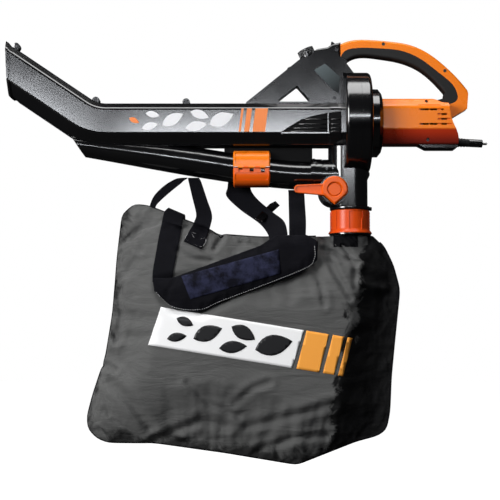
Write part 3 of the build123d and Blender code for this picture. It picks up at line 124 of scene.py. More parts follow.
def mix_colour(tree, share, low, high):
    """low where share is 0 and high where it is 1."""
    node = add_node(tree, "ShaderNodeMix", {"Factor": share}, data_type="RGBA")
    for socket, value in ((node.inputs[6], low), (node.inputs[7], high)):
        if isinstance(value, bpy.types.NodeSocket):
            tree.links.new(value, socket)
        else:
            socket.default_value = (*value, 1.0)
    return node.outputs[2]


def fresh_material(name):
    """An empty node material with a Principled shader, and both of them returned."""
    material = bpy.data.materials.new(name)
    material.use_nodes = True
    tree = material.node_tree
    return material, tree, tree.nodes["Principled BSDF"]


# %% World and floor
world = bpy.data.worlds.new("studio_world")
scene.world = world
world.use_nodes = True
sky = world.node_tree
sky.nodes.clear()
path = add_node(sky, "ShaderNodeLightPath")
seen = calculate(sky, "MAXIMUM", path.outputs["Is Camera Ray"], path.outputs["Is Transmission Ray"])
glossy = add_node(sky, "ShaderNodeBackground", {"Color": (0.9, 0.93, 1.0, 1.0), "Strength": 0.03})
ambient = add_node(sky, "ShaderNodeBackground", {"Color": (1.0, 1.0, 1.0, 1.0), "Strength": 0.07})
white = add_node(sky, "ShaderNodeBackground", {"Color": (1.0, 1.0, 1.0, 1.0), "Strength": 1.0})
unseen = add_node(sky, "ShaderNodeMixShader", {0: path.outputs["Is Glossy Ray"],
                                               1: ambient.outputs[0], 2: glossy.outputs[0]})
both = add_node(sky, "ShaderNodeMixShader", {0: seen, 1: unseen.outputs[0], 2: white.outputs[0]})
add_node(sky, "ShaderNodeOutputWorld", {"Surface": both.outputs[0]})

floor_z = -1.30
floor_mesh = bpy.data.meshes.new("studio_floor")
sheet = bmesh.new()
bmesh.ops.create_grid(sheet, x_segments=1, y_segments=1, size=14.0)
bmesh.ops.translate(sheet, verts=sheet.verts, vec=(0.0, 0.0, floor_z))
sheet.to_mesh(floor_mesh)
sheet.free()
floor = bpy.data.objects.new("studio_floor", floor_mesh)
scene.collection.objects.link(floor)
pale, tree, shader = fresh_material("pale_floor")
path = add_node(tree, "ShaderNodeLightPath")
shader.inputs["Roughness"].default_value = 0.9
shader.inputs["Specular IOR Level"].default_value = 0.0
tree.links.new(mix_colour(tree, path.outputs["Is Camera Ray"], (0.03, 0.03, 0.03), (0.8, 0.8, 0.8)),
               shader.inputs["Base Color"])
shader.inputs["Emission Color"].default_value = (1.0, 1.0, 1.0, 1.0)
tree.links.new(calculate(tree, "MULTIPLY", path.outputs["Is Camera Ray"], 0.95),
               shader.inputs["Emission Strength"])
floor_mesh.materials.append(pale)
print("floor at", floor_z)

# %% [markdown]
# # Moulded plastic
# A moulding copies its steel tool, so even a smooth face carries a fine sparked grain. Two
# scales of noise make it: one about a millimetre across that breaks up the gloss, and
# a broad slow one for the faint waviness that a cooled wall keeps. Edges on a real moulding
# are never knife sharp, so a Bevel node rounds the way light falls on them.


# %% Grain of a moulded surface
def new_group(name, inputs, outputs):
    """A node group whose sockets are named floats, vectors or colours."""
    group = bpy.data.node_groups.new(name, "ShaderNodeTree")
    kinds = {"float": "NodeSocketFloat", "vector": "NodeSocketVector", "colour": "NodeSocketColor"}
    for label, kind, value in inputs:
        socket = group.interface.new_socket(name=label, in_out="INPUT", socket_type=kinds[kind])
        if value is not None:
            socket.default_value = value
    for label, kind in outputs:
        group.interface.new_socket(name=label, in_out="OUTPUT", socket_type=kinds[kind])
    return group, group.nodes.new("NodeGroupInput"), group.nodes.new("NodeGroupOutput")


grain, come, leave = new_group(
    "Moulded Grain",
    [("Vector", "vector", None), ("Grain Size", "float", 0.0004), ("Wave Size", "float", 0.08),
     ("Scuffs", "float", 0.2)],
    [("Height", "float"), ("Tone", "float")])
fine_scale = calculate(grain, "DIVIDE", 1.0, come.outputs["Grain Size"])
wave_scale = calculate(grain, "DIVIDE", 1.0, come.outputs["Wave Size"])
fine = add_node(grain, "ShaderNodeTexNoise", {"Vector": come.outputs["Vector"], "Scale": fine_scale,
                                              "Detail": 2.0, "Roughness": 0.6})
wave = add_node(grain, "ShaderNodeTexNoise", {"Vector": come.outputs["Vector"], "Scale": wave_scale,
                                              "Detail": 3.0, "Roughness": 0.5})
scuff = add_node(grain, "ShaderNodeTexNoise", {"Vector": come.outputs["Vector"], "Scale": 24.0,
                                               "Detail": 8.0, "Roughness": 0.75, "Distortion": 1.2})
marks = add_node(grain, "ShaderNodeMapRange", {"Value": scuff.outputs[0], "From Min": 0.56,
                                               "From Max": 0.72, "To Min": 0.0, "To Max": 1.0})
marks = calculate(grain, "MULTIPLY", marks.outputs[0], come.outputs["Scuffs"])
grain.links.new(fine.outputs[0], leave.inputs["Height"])
tone = calculate(grain, "ADD", calculate(grain, "MULTIPLY", wave.outputs[0], 0.5), marks)
grain.links.new(tone, leave.inputs["Tone"])
print("group:", grain.name)


# %% Plastics
def plastic(name, colour, deep, rough, grain_size=0.0004, grain_depth=0.00002, scuffs=0.2,
            coat=0.0, level=0.5, edge=0.0007):
    """A moulded plastic: colour in the open, deep where the tone dips, rough at its mean."""
    material, tree, shader = fresh_material(name)
    place = add_node(tree, "ShaderNodeTexCoord").outputs["Object"]
    skin = add_node(tree, "ShaderNodeGroup", node_tree=grain)
    tree.links.new(place, skin.inputs["Vector"])
    skin.inputs["Grain Size"].default_value = grain_size
    skin.inputs["Scuffs"].default_value = scuffs
    tree.links.new(mix_colour(tree, skin.outputs["Tone"], deep, colour), shader.inputs["Base Color"])
    spread = add_node(tree, "ShaderNodeMapRange", {"Value": skin.outputs["Tone"], "From Min": 0.0,
                                                   "From Max": 0.8, "To Min": rough - 0.07,
                                                   "To Max": rough + 0.09})
    tree.links.new(spread.outputs[0], shader.inputs["Roughness"])
    rounded = add_node(tree, "ShaderNodeBevel", {"Radius": edge}, samples=4)
    bump = add_node(tree, "ShaderNodeBump", {"Height": skin.outputs["Height"], "Distance": grain_depth,
                                             "Strength": 1.0, "Normal": rounded.outputs[0]})
    tree.links.new(bump.outputs[0], shader.inputs["Normal"])
    shader.inputs["Specular IOR Level"].default_value = level
    shader.inputs["Coat Weight"].default_value = coat
    shader.inputs["Coat Roughness"].default_value = 0.12
    return material


black_plastic = plastic("satin_black_moulding", (0.0030, 0.0030, 0.0034), (0.0016, 0.0016, 0.002), 0.17,
                        grain_size=0.0016, grain_depth=0.000001, level=1.0)
orange_plastic = plastic("orange_moulding", (0.92, 0.240, 0.008), (0.84, 0.185, 0.006), 0.30,
                         grain_size=0.0011, grain_depth=0.000006, coat=0.1, level=0.3)
# A redder orange for the lever and its cap; on the clip flap it stands as painted shade.
lever_plastic = plastic("lever_moulding", (0.86, 0.140, 0.006), (0.78, 0.100, 0.005), 0.30,
                        grain_size=0.0011, grain_depth=0.000006, coat=0.05, level=0.25)
red_orange_plastic = plastic("red_orange_moulding", (0.80, 0.100, 0.008), (0.70, 0.065, 0.006), 0.30,
                             grain_size=0.0011, grain_depth=0.000006, coat=0.05, level=0.25)
motor_painted_shade_plastic = plastic("motor_moulding_painted_shade", (0.92, 0.240, 0.008), (0.84, 0.185, 0.006), 0.30,
                        grain_size=0.0011, grain_depth=0.000006, coat=0.1, level=0.3)
# The motor housing is painted red, then dark red, along its lower band by object height: painted shade
# where its side turns under.
tree = motor_painted_shade_plastic.node_tree
shader = tree.nodes["Principled BSDF"]
drop = add_node(tree, "ShaderNodeSeparateXYZ",
                {0: add_node(tree, "ShaderNodeTexCoord").outputs["Object"]}).outputs["Z"]
for start, end, colour in ((-0.197, -0.203, (0.62, 0.045, 0.012)), (-0.206, -0.226, (0.26, 0.022, 0.012))):
    share = add_node(tree, "ShaderNodeMapRange", {"Value": drop, "From Min": start, "From Max": end})
    tree.links.new(mix_colour(tree, share.outputs[0], shader.inputs["Base Color"].links[0].from_socket,
                              colour), shader.inputs["Base Color"])
soft_grip = plastic("soft_black_grip", (0.012, 0.012, 0.012), (0.006, 0.006, 0.006), 0.62,
                    grain_size=0.0009, grain_depth=0.00006, level=0.35)
print("plastics:", [m.name for m in (black_plastic, orange_plastic, red_orange_plastic, soft_grip)])


# %% Metals
def metal(name, colour, rough, edge=0.0004):
    """A bare metal with fine turning or casting texture."""
    material, tree, shader = fresh_material(name)
    place = add_node(tree, "ShaderNodeTexCoord").outputs["Object"]
    skin = add_node(tree, "ShaderNodeGroup", node_tree=grain)
    tree.links.new(place, skin.inputs["Vector"])
    skin.inputs["Grain Size"].default_value = 0.0007
    darker = tuple(0.6 * c for c in colour)
    tree.links.new(mix_colour(tree, skin.outputs["Tone"], darker, colour), shader.inputs["Base Color"])
    shader.inputs["Metallic"].default_value = 1.0
    spread = add_node(tree, "ShaderNodeMapRange", {"Value": skin.outputs["Tone"], "From Min": 0.0,
                                                   "From Max": 0.8, "To Min": rough - 0.08,
                                                   "To Max": rough + 0.12})
    tree.links.new(spread.outputs[0], shader.inputs["Roughness"])
    rounded = add_node(tree, "ShaderNodeBevel", {"Radius": edge}, samples=4)
    bump = add_node(tree, "ShaderNodeBump", {"Height": skin.outputs["Height"], "Distance": 0.00001,
                                             "Normal": rounded.outputs[0]})
    tree.links.new(bump.outputs[0], shader.inputs["Normal"])
    return material


machine_steel = metal("ground_steel", (0.56, 0.56, 0.57), 0.32)
screw_steel = metal("blackened_screw", (0.10, 0.10, 0.105), 0.42)
fan_metal = metal("cast_aluminium", (0.66, 0.66, 0.67), 0.45)
copper = metal("turned_copper", (0.80, 0.45, 0.26), 0.28)
pale_metal = metal("plated_pins", (0.75, 0.75, 0.74), 0.22)
carbon = plastic("pressed_carbon", (0.03, 0.03, 0.03), (0.015, 0.015, 0.015), 0.6)
print("metals made")

# %% Every solid piece gets its finish
by_slot = {"black_plastic": black_plastic, "orange_plastic": orange_plastic,
           "red_orange_plastic": red_orange_plastic, "soft_grip": soft_grip,
           "machine_steel": machine_steel, "screw_steel": screw_steel, "fan_metal": fan_metal,
           "copper": copper, "pale_metal": pale_metal, "carbon": carbon,
           "bag_fabric": black_plastic, "webbing": black_plastic, "pad_fabric": black_plastic}
for piece in frame["record"]["subparts"]:
    node = nodes[piece["node"]]
    node.data.materials.clear()
    node.data.materials.append(by_slot[piece["material_slot"]])
# The clip flap takes the redder lever orange as painted shade on the lower part of the clip.
for name in ("mode_lever", "lever_cap", "tube_clip_flap"):
    nodes[name].data.materials[0] = lever_plastic
for name in ("motor_housing_left", "motor_housing_right"):
    nodes[name].data.materials[0] = motor_painted_shade_plastic
print("dressed", len(nodes), "pieces")

# %% [markdown]
# # Cloth
# The bag is a tight plain weave of dull black nylon, the straps are ribbed webbing, and the
# shoulder pad is a smoother cloth with a mesh face. All three are yarns crossing at right
# angles, so one node group draws them: two waves, one each way, and the higher of the two
# wins, which is what a thread lying over another does.

# %% Woven threads
weave, come, leave = new_group(
    "Woven Threads",
    [("Vector", "vector", None), ("Across", "float", 900.0), ("Along", "float", 900.0),
     ("Slub", "float", 0.25)],
    [("Height", "float"), ("Tone", "float")])
parts = add_node(weave, "ShaderNodeSeparateXYZ", {0: come.outputs["Vector"]})
wobble = add_node(weave, "ShaderNodeTexNoise", {"Vector": come.outputs["Vector"], "Scale": 90.0,
                                                "Detail": 3.0})
drift = calculate(weave, "MULTIPLY", wobble.outputs[0], calculate(
    weave, "MULTIPLY", come.outputs["Slub"], 6.0))
threads = []
for axis, count in (("X", "Across"), ("Z", "Along")):
    turns = calculate(weave, "MULTIPLY", parts.outputs[axis], come.outputs[count])
    wave_of = calculate(weave, "SINE", calculate(weave, "ADD", turns, drift))
    threads.append(calculate(weave, "MULTIPLY", wave_of, wave_of))
over = calculate(weave, "MAXIMUM", *threads)
weave.links.new(over, leave.inputs["Height"])
blotch = add_node(weave, "ShaderNodeTexNoise", {"Vector": come.outputs["Vector"], "Scale": 7.0,
                                                "Detail": 5.0, "Roughness": 0.6})
mixed = calculate(weave, "ADD", calculate(weave, "MULTIPLY", over, 0.35),
                  calculate(weave, "MULTIPLY", blotch.outputs[0], 0.75))
weave.links.new(mixed, leave.inputs["Tone"])
print("group:", weave.name)


# %% Cloth finishes
def cloth(name, colour, deep, across, along, depth, rough=0.85, sheen=0.15, wrinkle=0.0,
          own_map=False, level=0.25, mottle=0.0):
    """A woven cloth: across and along are radians of thread per metre of the map."""
    material, tree, shader = fresh_material(name)
    spots = add_node(tree, "ShaderNodeTexCoord")
    place = spots.outputs["UV"] if own_map else spots.outputs["Object"]
    if own_map:
        place = add_node(tree, "ShaderNodeMapping", {"Vector": place, "Rotation": (math.pi / 2, 0, 0)}
                         ).outputs[0]
    yarn = add_node(tree, "ShaderNodeGroup", node_tree=weave)
    tree.links.new(place, yarn.inputs["Vector"])
    yarn.inputs["Across"].default_value = across
    yarn.inputs["Along"].default_value = along
    shade = mix_colour(tree, yarn.outputs["Tone"], deep, colour)
    if mottle:
        patchy = add_node(tree, "ShaderNodeTexNoise", {"Vector": spots.outputs["Object"],
                                                       "Scale": 26.0, "Detail": 6.0, "Roughness": 0.65})
        patchy = add_node(tree, "ShaderNodeMapRange", {"Value": patchy.outputs[0], "From Min": 0.42,
                                                       "From Max": 0.60, "To Max": mottle})
        shade = mix_colour(tree, patchy.outputs[0], shade, deep)
    tree.links.new(shade, shader.inputs["Base Color"])
    shader.inputs["Roughness"].default_value = rough
    shader.inputs["Specular IOR Level"].default_value = level
    shader.inputs["Sheen Weight"].default_value = sheen
    shader.inputs["Sheen Roughness"].default_value = 0.5
    height = yarn.outputs["Height"]
    bump = add_node(tree, "ShaderNodeBump", {"Height": height, "Distance": depth, "Strength": 1.0})
    if wrinkle:
        folds = add_node(tree, "ShaderNodeTexNoise", {
            "Vector": add_node(tree, "ShaderNodeMapping", {
                "Vector": spots.outputs["Object"], "Rotation": (0.0, math.radians(38.0), 0.0),
                "Scale": (6.0, 14.0, 26.0)}).outputs[0],
            "Scale": 1.0, "Detail": 6.0, "Roughness": 0.55, "Distortion": 0.8})
        tree.links.new(add_node(tree, "ShaderNodeBump", {
            "Height": folds.outputs[0], "Distance": wrinkle}).outputs[0], bump.inputs["Normal"])
    tree.links.new(bump.outputs[0], shader.inputs["Normal"])
    return material


bag_cloth = cloth("charcoal_bag_cloth", (0.108, 0.108, 0.106), (0.058, 0.059, 0.058), 2600.0, 2600.0,
                  0.00012, wrinkle=0.008)
webbing_cloth = cloth("black_webbing", (0.0065, 0.0065, 0.0095), (0.0005, 0.0005, 0.001), 1500.0, 2400.0,
                      0.00045, rough=0.75, sheen=0.0, own_map=True, level=0.08)
pad_cloth = cloth("black_pad_cloth", (0.0045, 0.0045, 0.007), (0.001, 0.001, 0.002), 2200.0, 2200.0,
                  0.0002, rough=0.8, sheen=0.0, wrinkle=0.003, level=0.1)
mesh_cloth = cloth("navy_mesh_cloth", (0.032, 0.036, 0.080), (0.001, 0.001, 0.004), 1300.0, 1300.0,
                   0.0004, rough=0.7, sheen=0.0, wrinkle=0.004, level=0.1, mottle=0.95)
binding_cloth = cloth("black_binding", (0.004, 0.004, 0.005), (0.001, 0.001, 0.002), 1800.0, 1800.0,
                      0.0002, rough=0.8, sheen=0.0, level=0.1)
thread = cloth("pale_thread", (0.55, 0.55, 0.56), (0.35, 0.35, 0.36), 3000.0, 3000.0, 0.0001)

# The right side and ragged bands along the bottom and the left are painted near-black, with no sheen:
# painted shade where the bag turns away from the light.
tree = bag_cloth.node_tree
shader = tree.nodes["Principled BSDF"]
place = add_node(tree, "ShaderNodeTexCoord").outputs["Object"]
axes = add_node(tree, "ShaderNodeSeparateXYZ", {0: place})
broad = add_node(tree, "ShaderNodeTexNoise", {"Vector": place, "Scale": 17.0, "Detail": 7.0,
                                              "Roughness": 0.62, "Distortion": 0.6})
ragged = calculate(tree, "SUBTRACT", broad.outputs[0], 0.5)
shares = []
for by_x, by_z, shift, swing, blur in ((1.0, -0.21, -0.050, 0.17, 0.007),
                                       (-0.113, -1.0, -0.9950, 0.16, 0.012),
                                       (-1.0, 0.1645, -0.558, 0.16, 0.012)):
    reach = calculate(tree, "ADD", calculate(tree, "MULTIPLY", axes.outputs["X"], by_x),
                      calculate(tree, "MULTIPLY", axes.outputs["Z"], by_z))
    reach = calculate(tree, "ADD", calculate(tree, "ADD", reach, shift),
                      calculate(tree, "MULTIPLY", ragged, swing))
    shares.append(add_node(tree, "ShaderNodeMapRange", {
        "Value": reach, "From Min": -blur, "From Max": blur}).outputs[0])
painted_shade_bands = calculate(tree, "MAXIMUM", shares[1], shares[2])
dark = calculate(tree, "MAXIMUM", calculate(tree, "MULTIPLY", painted_shade_bands, 0.8), shares[0])
before = shader.inputs["Base Color"].links[0].from_socket
tree.links.new(mix_colour(tree, dark, before, (0.0022, 0.0022, 0.0026)), shader.inputs["Base Color"])
tree.links.new(calculate(tree, "MULTIPLY", calculate(tree, "SUBTRACT", 1.0, dark), 0.15),
               shader.inputs["Sheen Weight"])
print("cloths made")

# %% [markdown]
# # The collection bag
# The real bag is two panels sewn round their edge and gathered into a ring at the neck. It
# hangs half empty, so the faces belly out and pucker where the seam holds them. A cloth
# simulation gives exactly that: the seam is pinned, a light pressure swells the panels,
# and a cap keeps each point near where it started. Long folds that the weight draws from
# the neck and the hanger straps are then pressed in.


# %% Small mesh helpers
def new_piece(name, mesh, body="machine", material=None, smooth=True):
    """A finished piece: linked, shaded, given its material and fixed to its body."""
    piece = bpy.data.objects.new(name, mesh)
    scene.collection.objects.link(piece)
    if material:
        mesh.materials.clear()
        mesh.materials.append(material)
    mesh.polygons.foreach_set("use_smooth", [smooth] * len(mesh.polygons))
    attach(piece, body)
    return piece


def points_of(mesh):
    """Vertex places as an array, one row each."""
    flat = np.zeros(len(mesh.vertices) * 3)
    mesh.vertices.foreach_get("co", flat)
    return flat.reshape(-1, 3)


def surface_from(mesh):
    """A mesh as a surface that rays can be cast at."""
    return BVHTree.FromPolygons([tuple(p) for p in points_of(mesh)],
                                [tuple(f.vertices) for f in mesh.polygons])


def applied(piece):
    """The piece's mesh with its modifiers applied."""
    seen_by = bpy.context.evaluated_depsgraph_get()
    return bpy.data.meshes.new_from_object(piece.evaluated_get(seen_by))


# %% Swell a soft solid
def swell(name, node, thin, voxel, pinned, pressure, growth, cap, frames=20, quality=5):
    """A copy of a soft solid, thinned about y = centre, remeshed and blown up as cloth."""
    mesh = nodes[node].data.copy()
    low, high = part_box(node)
    centre = (low.y + high.y) / 2
    shell = bmesh.new()
    shell.from_mesh(mesh)
    bmesh.ops.remove_doubles(shell, verts=shell.verts, dist=1e-5)
    for vertex in shell.verts:
        vertex.co.y = centre + (vertex.co.y - centre) * thin
    shell.to_mesh(mesh)
    shell.free()
    soft = bpy.data.objects.new(name, mesh)
    scene.collection.objects.link(soft)
    mesh.remesh_voxel_size = voxel
    bpy.context.view_layer.objects.active = soft
    with bpy.context.temp_override(object=soft, active_object=soft):
        bpy.ops.object.voxel_remesh()
    start = points_of(soft.data)
    held = soft.vertex_groups.new(name="held")
    held.add([i for i, p in enumerate(start) if pinned(p)], 1.0, "REPLACE")
    sim = soft.modifiers.new("cloth", "CLOTH")
    sim.settings.quality = quality
    sim.settings.mass = 0.15
    sim.settings.bending_stiffness = 0.5
    sim.settings.use_pressure = True
    sim.settings.uniform_pressure_force = pressure
    sim.settings.vertex_group_mass = "held"
    sim.settings.shrink_min = growth
    sim.settings.effector_weights.gravity = 0.0
    sim.collision_settings.use_collision = False
    for frame_number in range(1, frames + 1):
        scene.frame_set(frame_number)
    mesh = applied(soft)
    move = points_of(mesh) - start
    length = np.linalg.norm(move, axis=1, keepdims=True)
    move *= np.minimum(1.0, cap / np.maximum(length, 1e-9))
    mesh.vertices.foreach_set("co", (start + move).ravel())
    scene.frame_set(1)
    bpy.data.objects.remove(soft)
    return mesh


# %% Bag panels
bag_mesh = swell("bag_start", "bag", 0.62, 0.0065,
                 lambda p: abs(p[1]) < 0.0058 or (p[2] > -0.463 and p[0] > -0.15),
                 3.5, -0.04, 0.034)
print("bag:", len(bag_mesh.vertices), "points")


# %% Press the long folds in
def press_fold(places, route, depth, width):
    """Moves near-face points along y: a soft groove of that depth along a route of (x, z)."""
    moved = places.copy()
    near = places[:, 1] < 0.0
    best = np.full(len(places), 9.0)
    for (ax, az), (bx, bz) in zip(route, route[1:]):
        along = np.array([bx - ax, bz - az])
        reach = np.clip(((places[:, 0] - ax) * along[0] + (places[:, 2] - az) * along[1])
                        / (along @ along), 0.0, 1.0)
        gap = np.hypot(places[:, 0] - ax - reach * along[0], places[:, 2] - az - reach * along[1])
        best = np.minimum(best, gap)
    groove = depth * np.exp(-(best / width) ** 2)
    ridge = 0.55 * depth * np.exp(-((best - 2.0 * width) / (1.2 * width)) ** 2)
    moved[:, 1] += np.where(near, groove - ridge, 0.0)
    return moved


# %% Turn the right side away, crumple the rim and make room for the pad
bag_points = points_of(bag_mesh)
turn_depths = (0.46, 0.56, 0.66, 0.75, 0.93)
turn_places = (-0.060, -0.078, -0.098, -0.108, -0.125)
turn_width, turn_share, turn_wander = 0.09, 0.8, 0.016
crumple, rim_depth = 0.0075, 0.05
pad_margin, pad_gap, pad_slope = 0.02, 0.0015, 0.7
pad_shape = surface_from(nodes["shoulder_pad"].data)
pad_low, pad_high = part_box("shoulder_pad")
pad_middle = (pad_low.y + pad_high.y) / 2
for index, (x, y, z) in enumerate(bag_points):
    if y >= -0.004:
        continue
    turn = np.interp(-z, turn_depths, turn_places) + turn_wander * noise(Vector((0.0, 7.0, z * 19.0)))
    y *= 1.0 - turn_share * min(1.0, max(0.0, (x - turn) / turn_width))
    near_rim = min(1.0, max(0.0, (0.062 + y) / rim_depth))
    ridge = (abs(noise(Vector((x * 34.0, 2.0, z * 21.0))))
             + 0.6 * abs(noise(Vector((x * 80.0, 5.0, z * 48.0)))))
    y += crumple * near_rim * (ridge - 0.25)
    if (pad_low.x - pad_margin < x < pad_high.x + pad_margin
            and pad_low.z - pad_margin < z < pad_high.z + pad_margin):
        over = pad_shape.ray_cast(Vector((x, -0.3, z)), Vector((0.0, 1.0, 0.0)))[0]
        out = 0.0 if over else pad_shape.find_nearest(Vector((x, pad_middle, z)))[3]
        y = max(y, pad_high.y + pad_gap - pad_slope * out)
    bag_points[index, 1] = y
print("near face shaped")

# %% Long folds
for route, depth, width in (
        (((-0.150, -0.457), (-0.139, -0.488), (-0.106, -0.507), (-0.072, -0.520)), 0.010, 0.006),
        (((-0.149, -0.486), (-0.128, -0.534), (-0.106, -0.576), (-0.090, -0.602)), 0.012, 0.007),
        (((-0.067, -0.567), (-0.030, -0.577), (-0.004, -0.580)), -0.009, 0.010),
        (((-0.413, -0.441), (-0.390, -0.455), (-0.408, -0.486)), 0.007, 0.005),
        (((-0.495, -0.490), (-0.459, -0.512), (-0.413, -0.515)), 0.006, 0.006),
        (((-0.627, -0.429), (-0.606, -0.454), (-0.585, -0.490)), 0.006, 0.007),
        (((-0.342, -0.469), (-0.300, -0.480)), 0.006, 0.005),
        (((-0.640, -0.560), (-0.628, -0.640), (-0.640, -0.700)), 0.009, 0.009),
        (((-0.655, -0.800), (-0.600, -0.850), (-0.560, -0.905)), 0.008, 0.010),
        (((-0.520, -0.925), (-0.440, -0.890), (-0.380, -0.905)), 0.009, 0.010),
        (((-0.360, -0.850), (-0.314, -0.812), (-0.280, -0.800)), 0.005, 0.007),
        (((-0.330, -0.905), (-0.230, -0.880), (-0.130, -0.850)), 0.007, 0.009),
        (((-0.700, -0.640), (-0.655, -0.668), (-0.640, -0.705)), 0.008, 0.006),
        (((-0.715, -0.780), (-0.668, -0.760), (-0.640, -0.772)), 0.008, 0.006),
        (((-0.590, -0.960), (-0.540, -0.930), (-0.470, -0.945)), 0.008, 0.007),
        (((-0.470, -0.800), (-0.420, -0.850), (-0.350, -0.880)), 0.006, 0.006),
        (((-0.300, -0.960), (-0.220, -0.930), (-0.140, -0.925)), 0.008, 0.008),
        (((-0.200, -0.500), (-0.160, -0.560), (-0.150, -0.620)), 0.006, 0.006),
        (((-0.100, -0.480), (-0.075, -0.530), (-0.078, -0.580)), 0.008, 0.006)):
    bag_points = press_fold(bag_points, route, depth, width)
bag_mesh.vertices.foreach_set("co", bag_points.ravel())
bag = new_piece("collection_bag", bag_mesh, material=bag_cloth)
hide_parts("bag")
smoother = bag.modifiers.new("smooth", "SUBSURF")
smoother.levels = smoother.render_levels = 1
print("bag spans", [round(v, 3) for v in points_of(bag_mesh).min(0)],
      [round(v, 3) for v in points_of(bag_mesh).max(0)])

# %% Lay things on the bag
bag_surface = surface_from(bag_mesh)


def laid_y(x, z, fallback, lift, side=-1.0):
    """The y that lies lift off the bag's face at x, z, on the near (-1) or far (+1) side."""
    hit = bag_surface.ray_cast(Vector((x, side * 0.3, z)), Vector((0.0, -side, 0.0)))
    if hit[0] is None:
        return fallback
    return hit[0].y + side * lift


# %% Ribbons of webbing
def smooth_line(points, count):
    """count places along a Catmull-Rom line through points, as an array."""
    points = np.array(points, float)
    padded_points = np.vstack([2 * points[0] - points[1], points, 2 * points[-1] - points[-2]])
    out = []
    for s in np.linspace(0.0, len(points) - 1.000001, count):
        i = int(s)
        t = s - i
        a, b, c, d = padded_points[i:i + 4]
        out.append(0.5 * (2 * b + (c - a) * t + (2 * a - 5 * b + 4 * c - d) * t ** 2
                          + (3 * b - a - 3 * c + d) * t ** 3))
    return np.array(out)


def ribbon(name, stations, thickness=0.0022, rows=70, columns=8, lie_from=None, side=-1.0,
           material=None):
    """A strap from stations of (left x, z, right x, z, left y, right y), millimetres. From the
    share lie_from of its length on, it lies on the bag wherever the bag is under it."""
    line = smooth_line(np.array(stations) / 1000.0, rows + 1)
    strap = bmesh.new()
    bmesh.ops.create_grid(strap, x_segments=columns, y_segments=rows, size=0.5, calc_uvs=True)
    uv = strap.loops.layers.uv.verify()
    middles = np.column_stack([(line[:, 0] + line[:, 2]) / 2, (line[:, 4] + line[:, 5]) / 2,
                               (line[:, 1] + line[:, 3]) / 2])
    run = np.concatenate([[0.0], np.cumsum(np.linalg.norm(np.diff(middles, axis=0), axis=1))])
    for face in strap.faces:
        for corner in face.loops:
            place = corner.vert.co
            corner[uv].uv = (0.044 * (place.x + 0.5), run[round((place.y + 0.5) * rows)])
    for vertex in strap.verts:
        across, row = vertex.co.x + 0.5, round((vertex.co.y + 0.5) * rows)
        lx, lz, rx, rz, ly, ry = line[row]
        x, z, y = lx + (rx - lx) * across, lz + (rz - lz) * across, ly + (ry - ly) * across
        if lie_from is not None and row >= lie_from * rows:
            on_bag = laid_y(x, z, y, thickness + 0.0006, side)
            y = on_bag if (on_bag - y) * side > 0 or row > (lie_from + 0.12) * rows else y
        vertex.co = (x, y, z)
    for _ in range(2):
        bmesh.ops.smooth_vert(strap, verts=[v for v in strap.verts if not v.is_boundary],
                              factor=0.4, use_axis_x=False, use_axis_y=True, use_axis_z=False)
    bmesh.ops.recalc_face_normals(strap, faces=strap.faces)
    mesh = bpy.data.meshes.new(name)
    strap.to_mesh(mesh)
    strap.free()
    piece = new_piece(name, mesh, material=material or webbing_cloth)
    thick = piece.modifiers.new("thickness", "SOLIDIFY")
    thick.thickness = thickness
    thick.offset = 0.0
    rim = piece.modifiers.new("soft_edge", "BEVEL")
    rim.width = 0.0005
    rim.segments = 2
    rim.limit_method = "ANGLE"
    print(name, "runs", round(run[-1], 3), "m")
    return piece


# %% The hanger straps
hanger_near = ribbon("hanger_webbing_near", (
    (-473, -313, -447, -313, 6, 6), (-473, -314, -446, -314, -6, -6),
    (-471, -324, -440, -326, -12, -12), (-462, -362, -427, -365, -13, -13),
    (-453, -400, -415, -402, -14, -14), (-457, -419, -418, -428, -18, -22),
    (-469, -443, -428, -459, -36, -40), (-481, -468, -439, -487, -56, -60)), lie_from=0.62)
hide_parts("hanger_strap_near")
hanger_far = ribbon("hanger_webbing_far", (
    (-478, -309, -474, -313, 26, -10), (-492, -309, -484, -319, 29, -6),
    (-507, -312, -492, -326, 31, -2), (-532, -327, -516, -345, 32, 1),
    (-556, -351, -541, -367, 32, 4), (-567, -376, -552, -381, 32, 7),
    (-570, -398, -553, -402, 30, 14)), lie_from=0.9, side=1.0)
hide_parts("hanger_strap_far")

# %% The shoulder strap
strap_front = ribbon("shoulder_webbing_front", (
    (-527, -408, -481, -424, 20, 20), (-524, -391, -480, -405, 9, 9),
    (-520, -385, -482, -402, -2, -2), (-529, -396, -484, -414, -14, -16),
    (-534, -425, -487, -437, -36, -38), (-540, -460, -490, -463, -50, -50),
    (-546, -500, -498, -508, -58, -58), (-552, -538, -505, -548, -61, -61),
    (-553, -566, -508, -572, -62, -62)), lie_from=0.36)
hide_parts("shoulder_strap_front")
strap_rear = ribbon("shoulder_webbing_rear", (
    (-372, -272, -328, -272, 42.8, 42.8), (-376, -300, -325, -300, 42.8, 42.8),
    (-379, -330, -323, -330, 42, 42), (-381, -352, -316, -347, 40, 38),
    (-348, -386, -300, -367, 24, 20), (-304, -421, -270, -396, -10, -14),
    (-286, -444, -244, -420, -40, -42), (-279, -462, -236, -448, -60, -60),
    (-280, -476, -237, -468, -64, -64)))
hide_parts("shoulder_strap_rear")
strap_tail = ribbon("shoulder_webbing_tail", (
    (-232, -343, -194, -343, 12, 12), (-232, -343.4, -194, -343.4, -8, -8),
    (-232, -352, -194, -352, -18, -18), (-232, -385, -193, -385, -36, -36),
    (-232, -424, -192, -424, -60, -60), (-232, -462, -193, -462, -64, -64)))
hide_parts("shoulder_strap_tail")
print("straps hang")

# %% [markdown]
# # The shoulder pad
# A foam core in a sewn cover, bound all round with tape. The cover is blown up a little as
# cloth so that it crowns between its seams, then a mesh panel lies on its face and a row
# of pale stitches follows the binding.

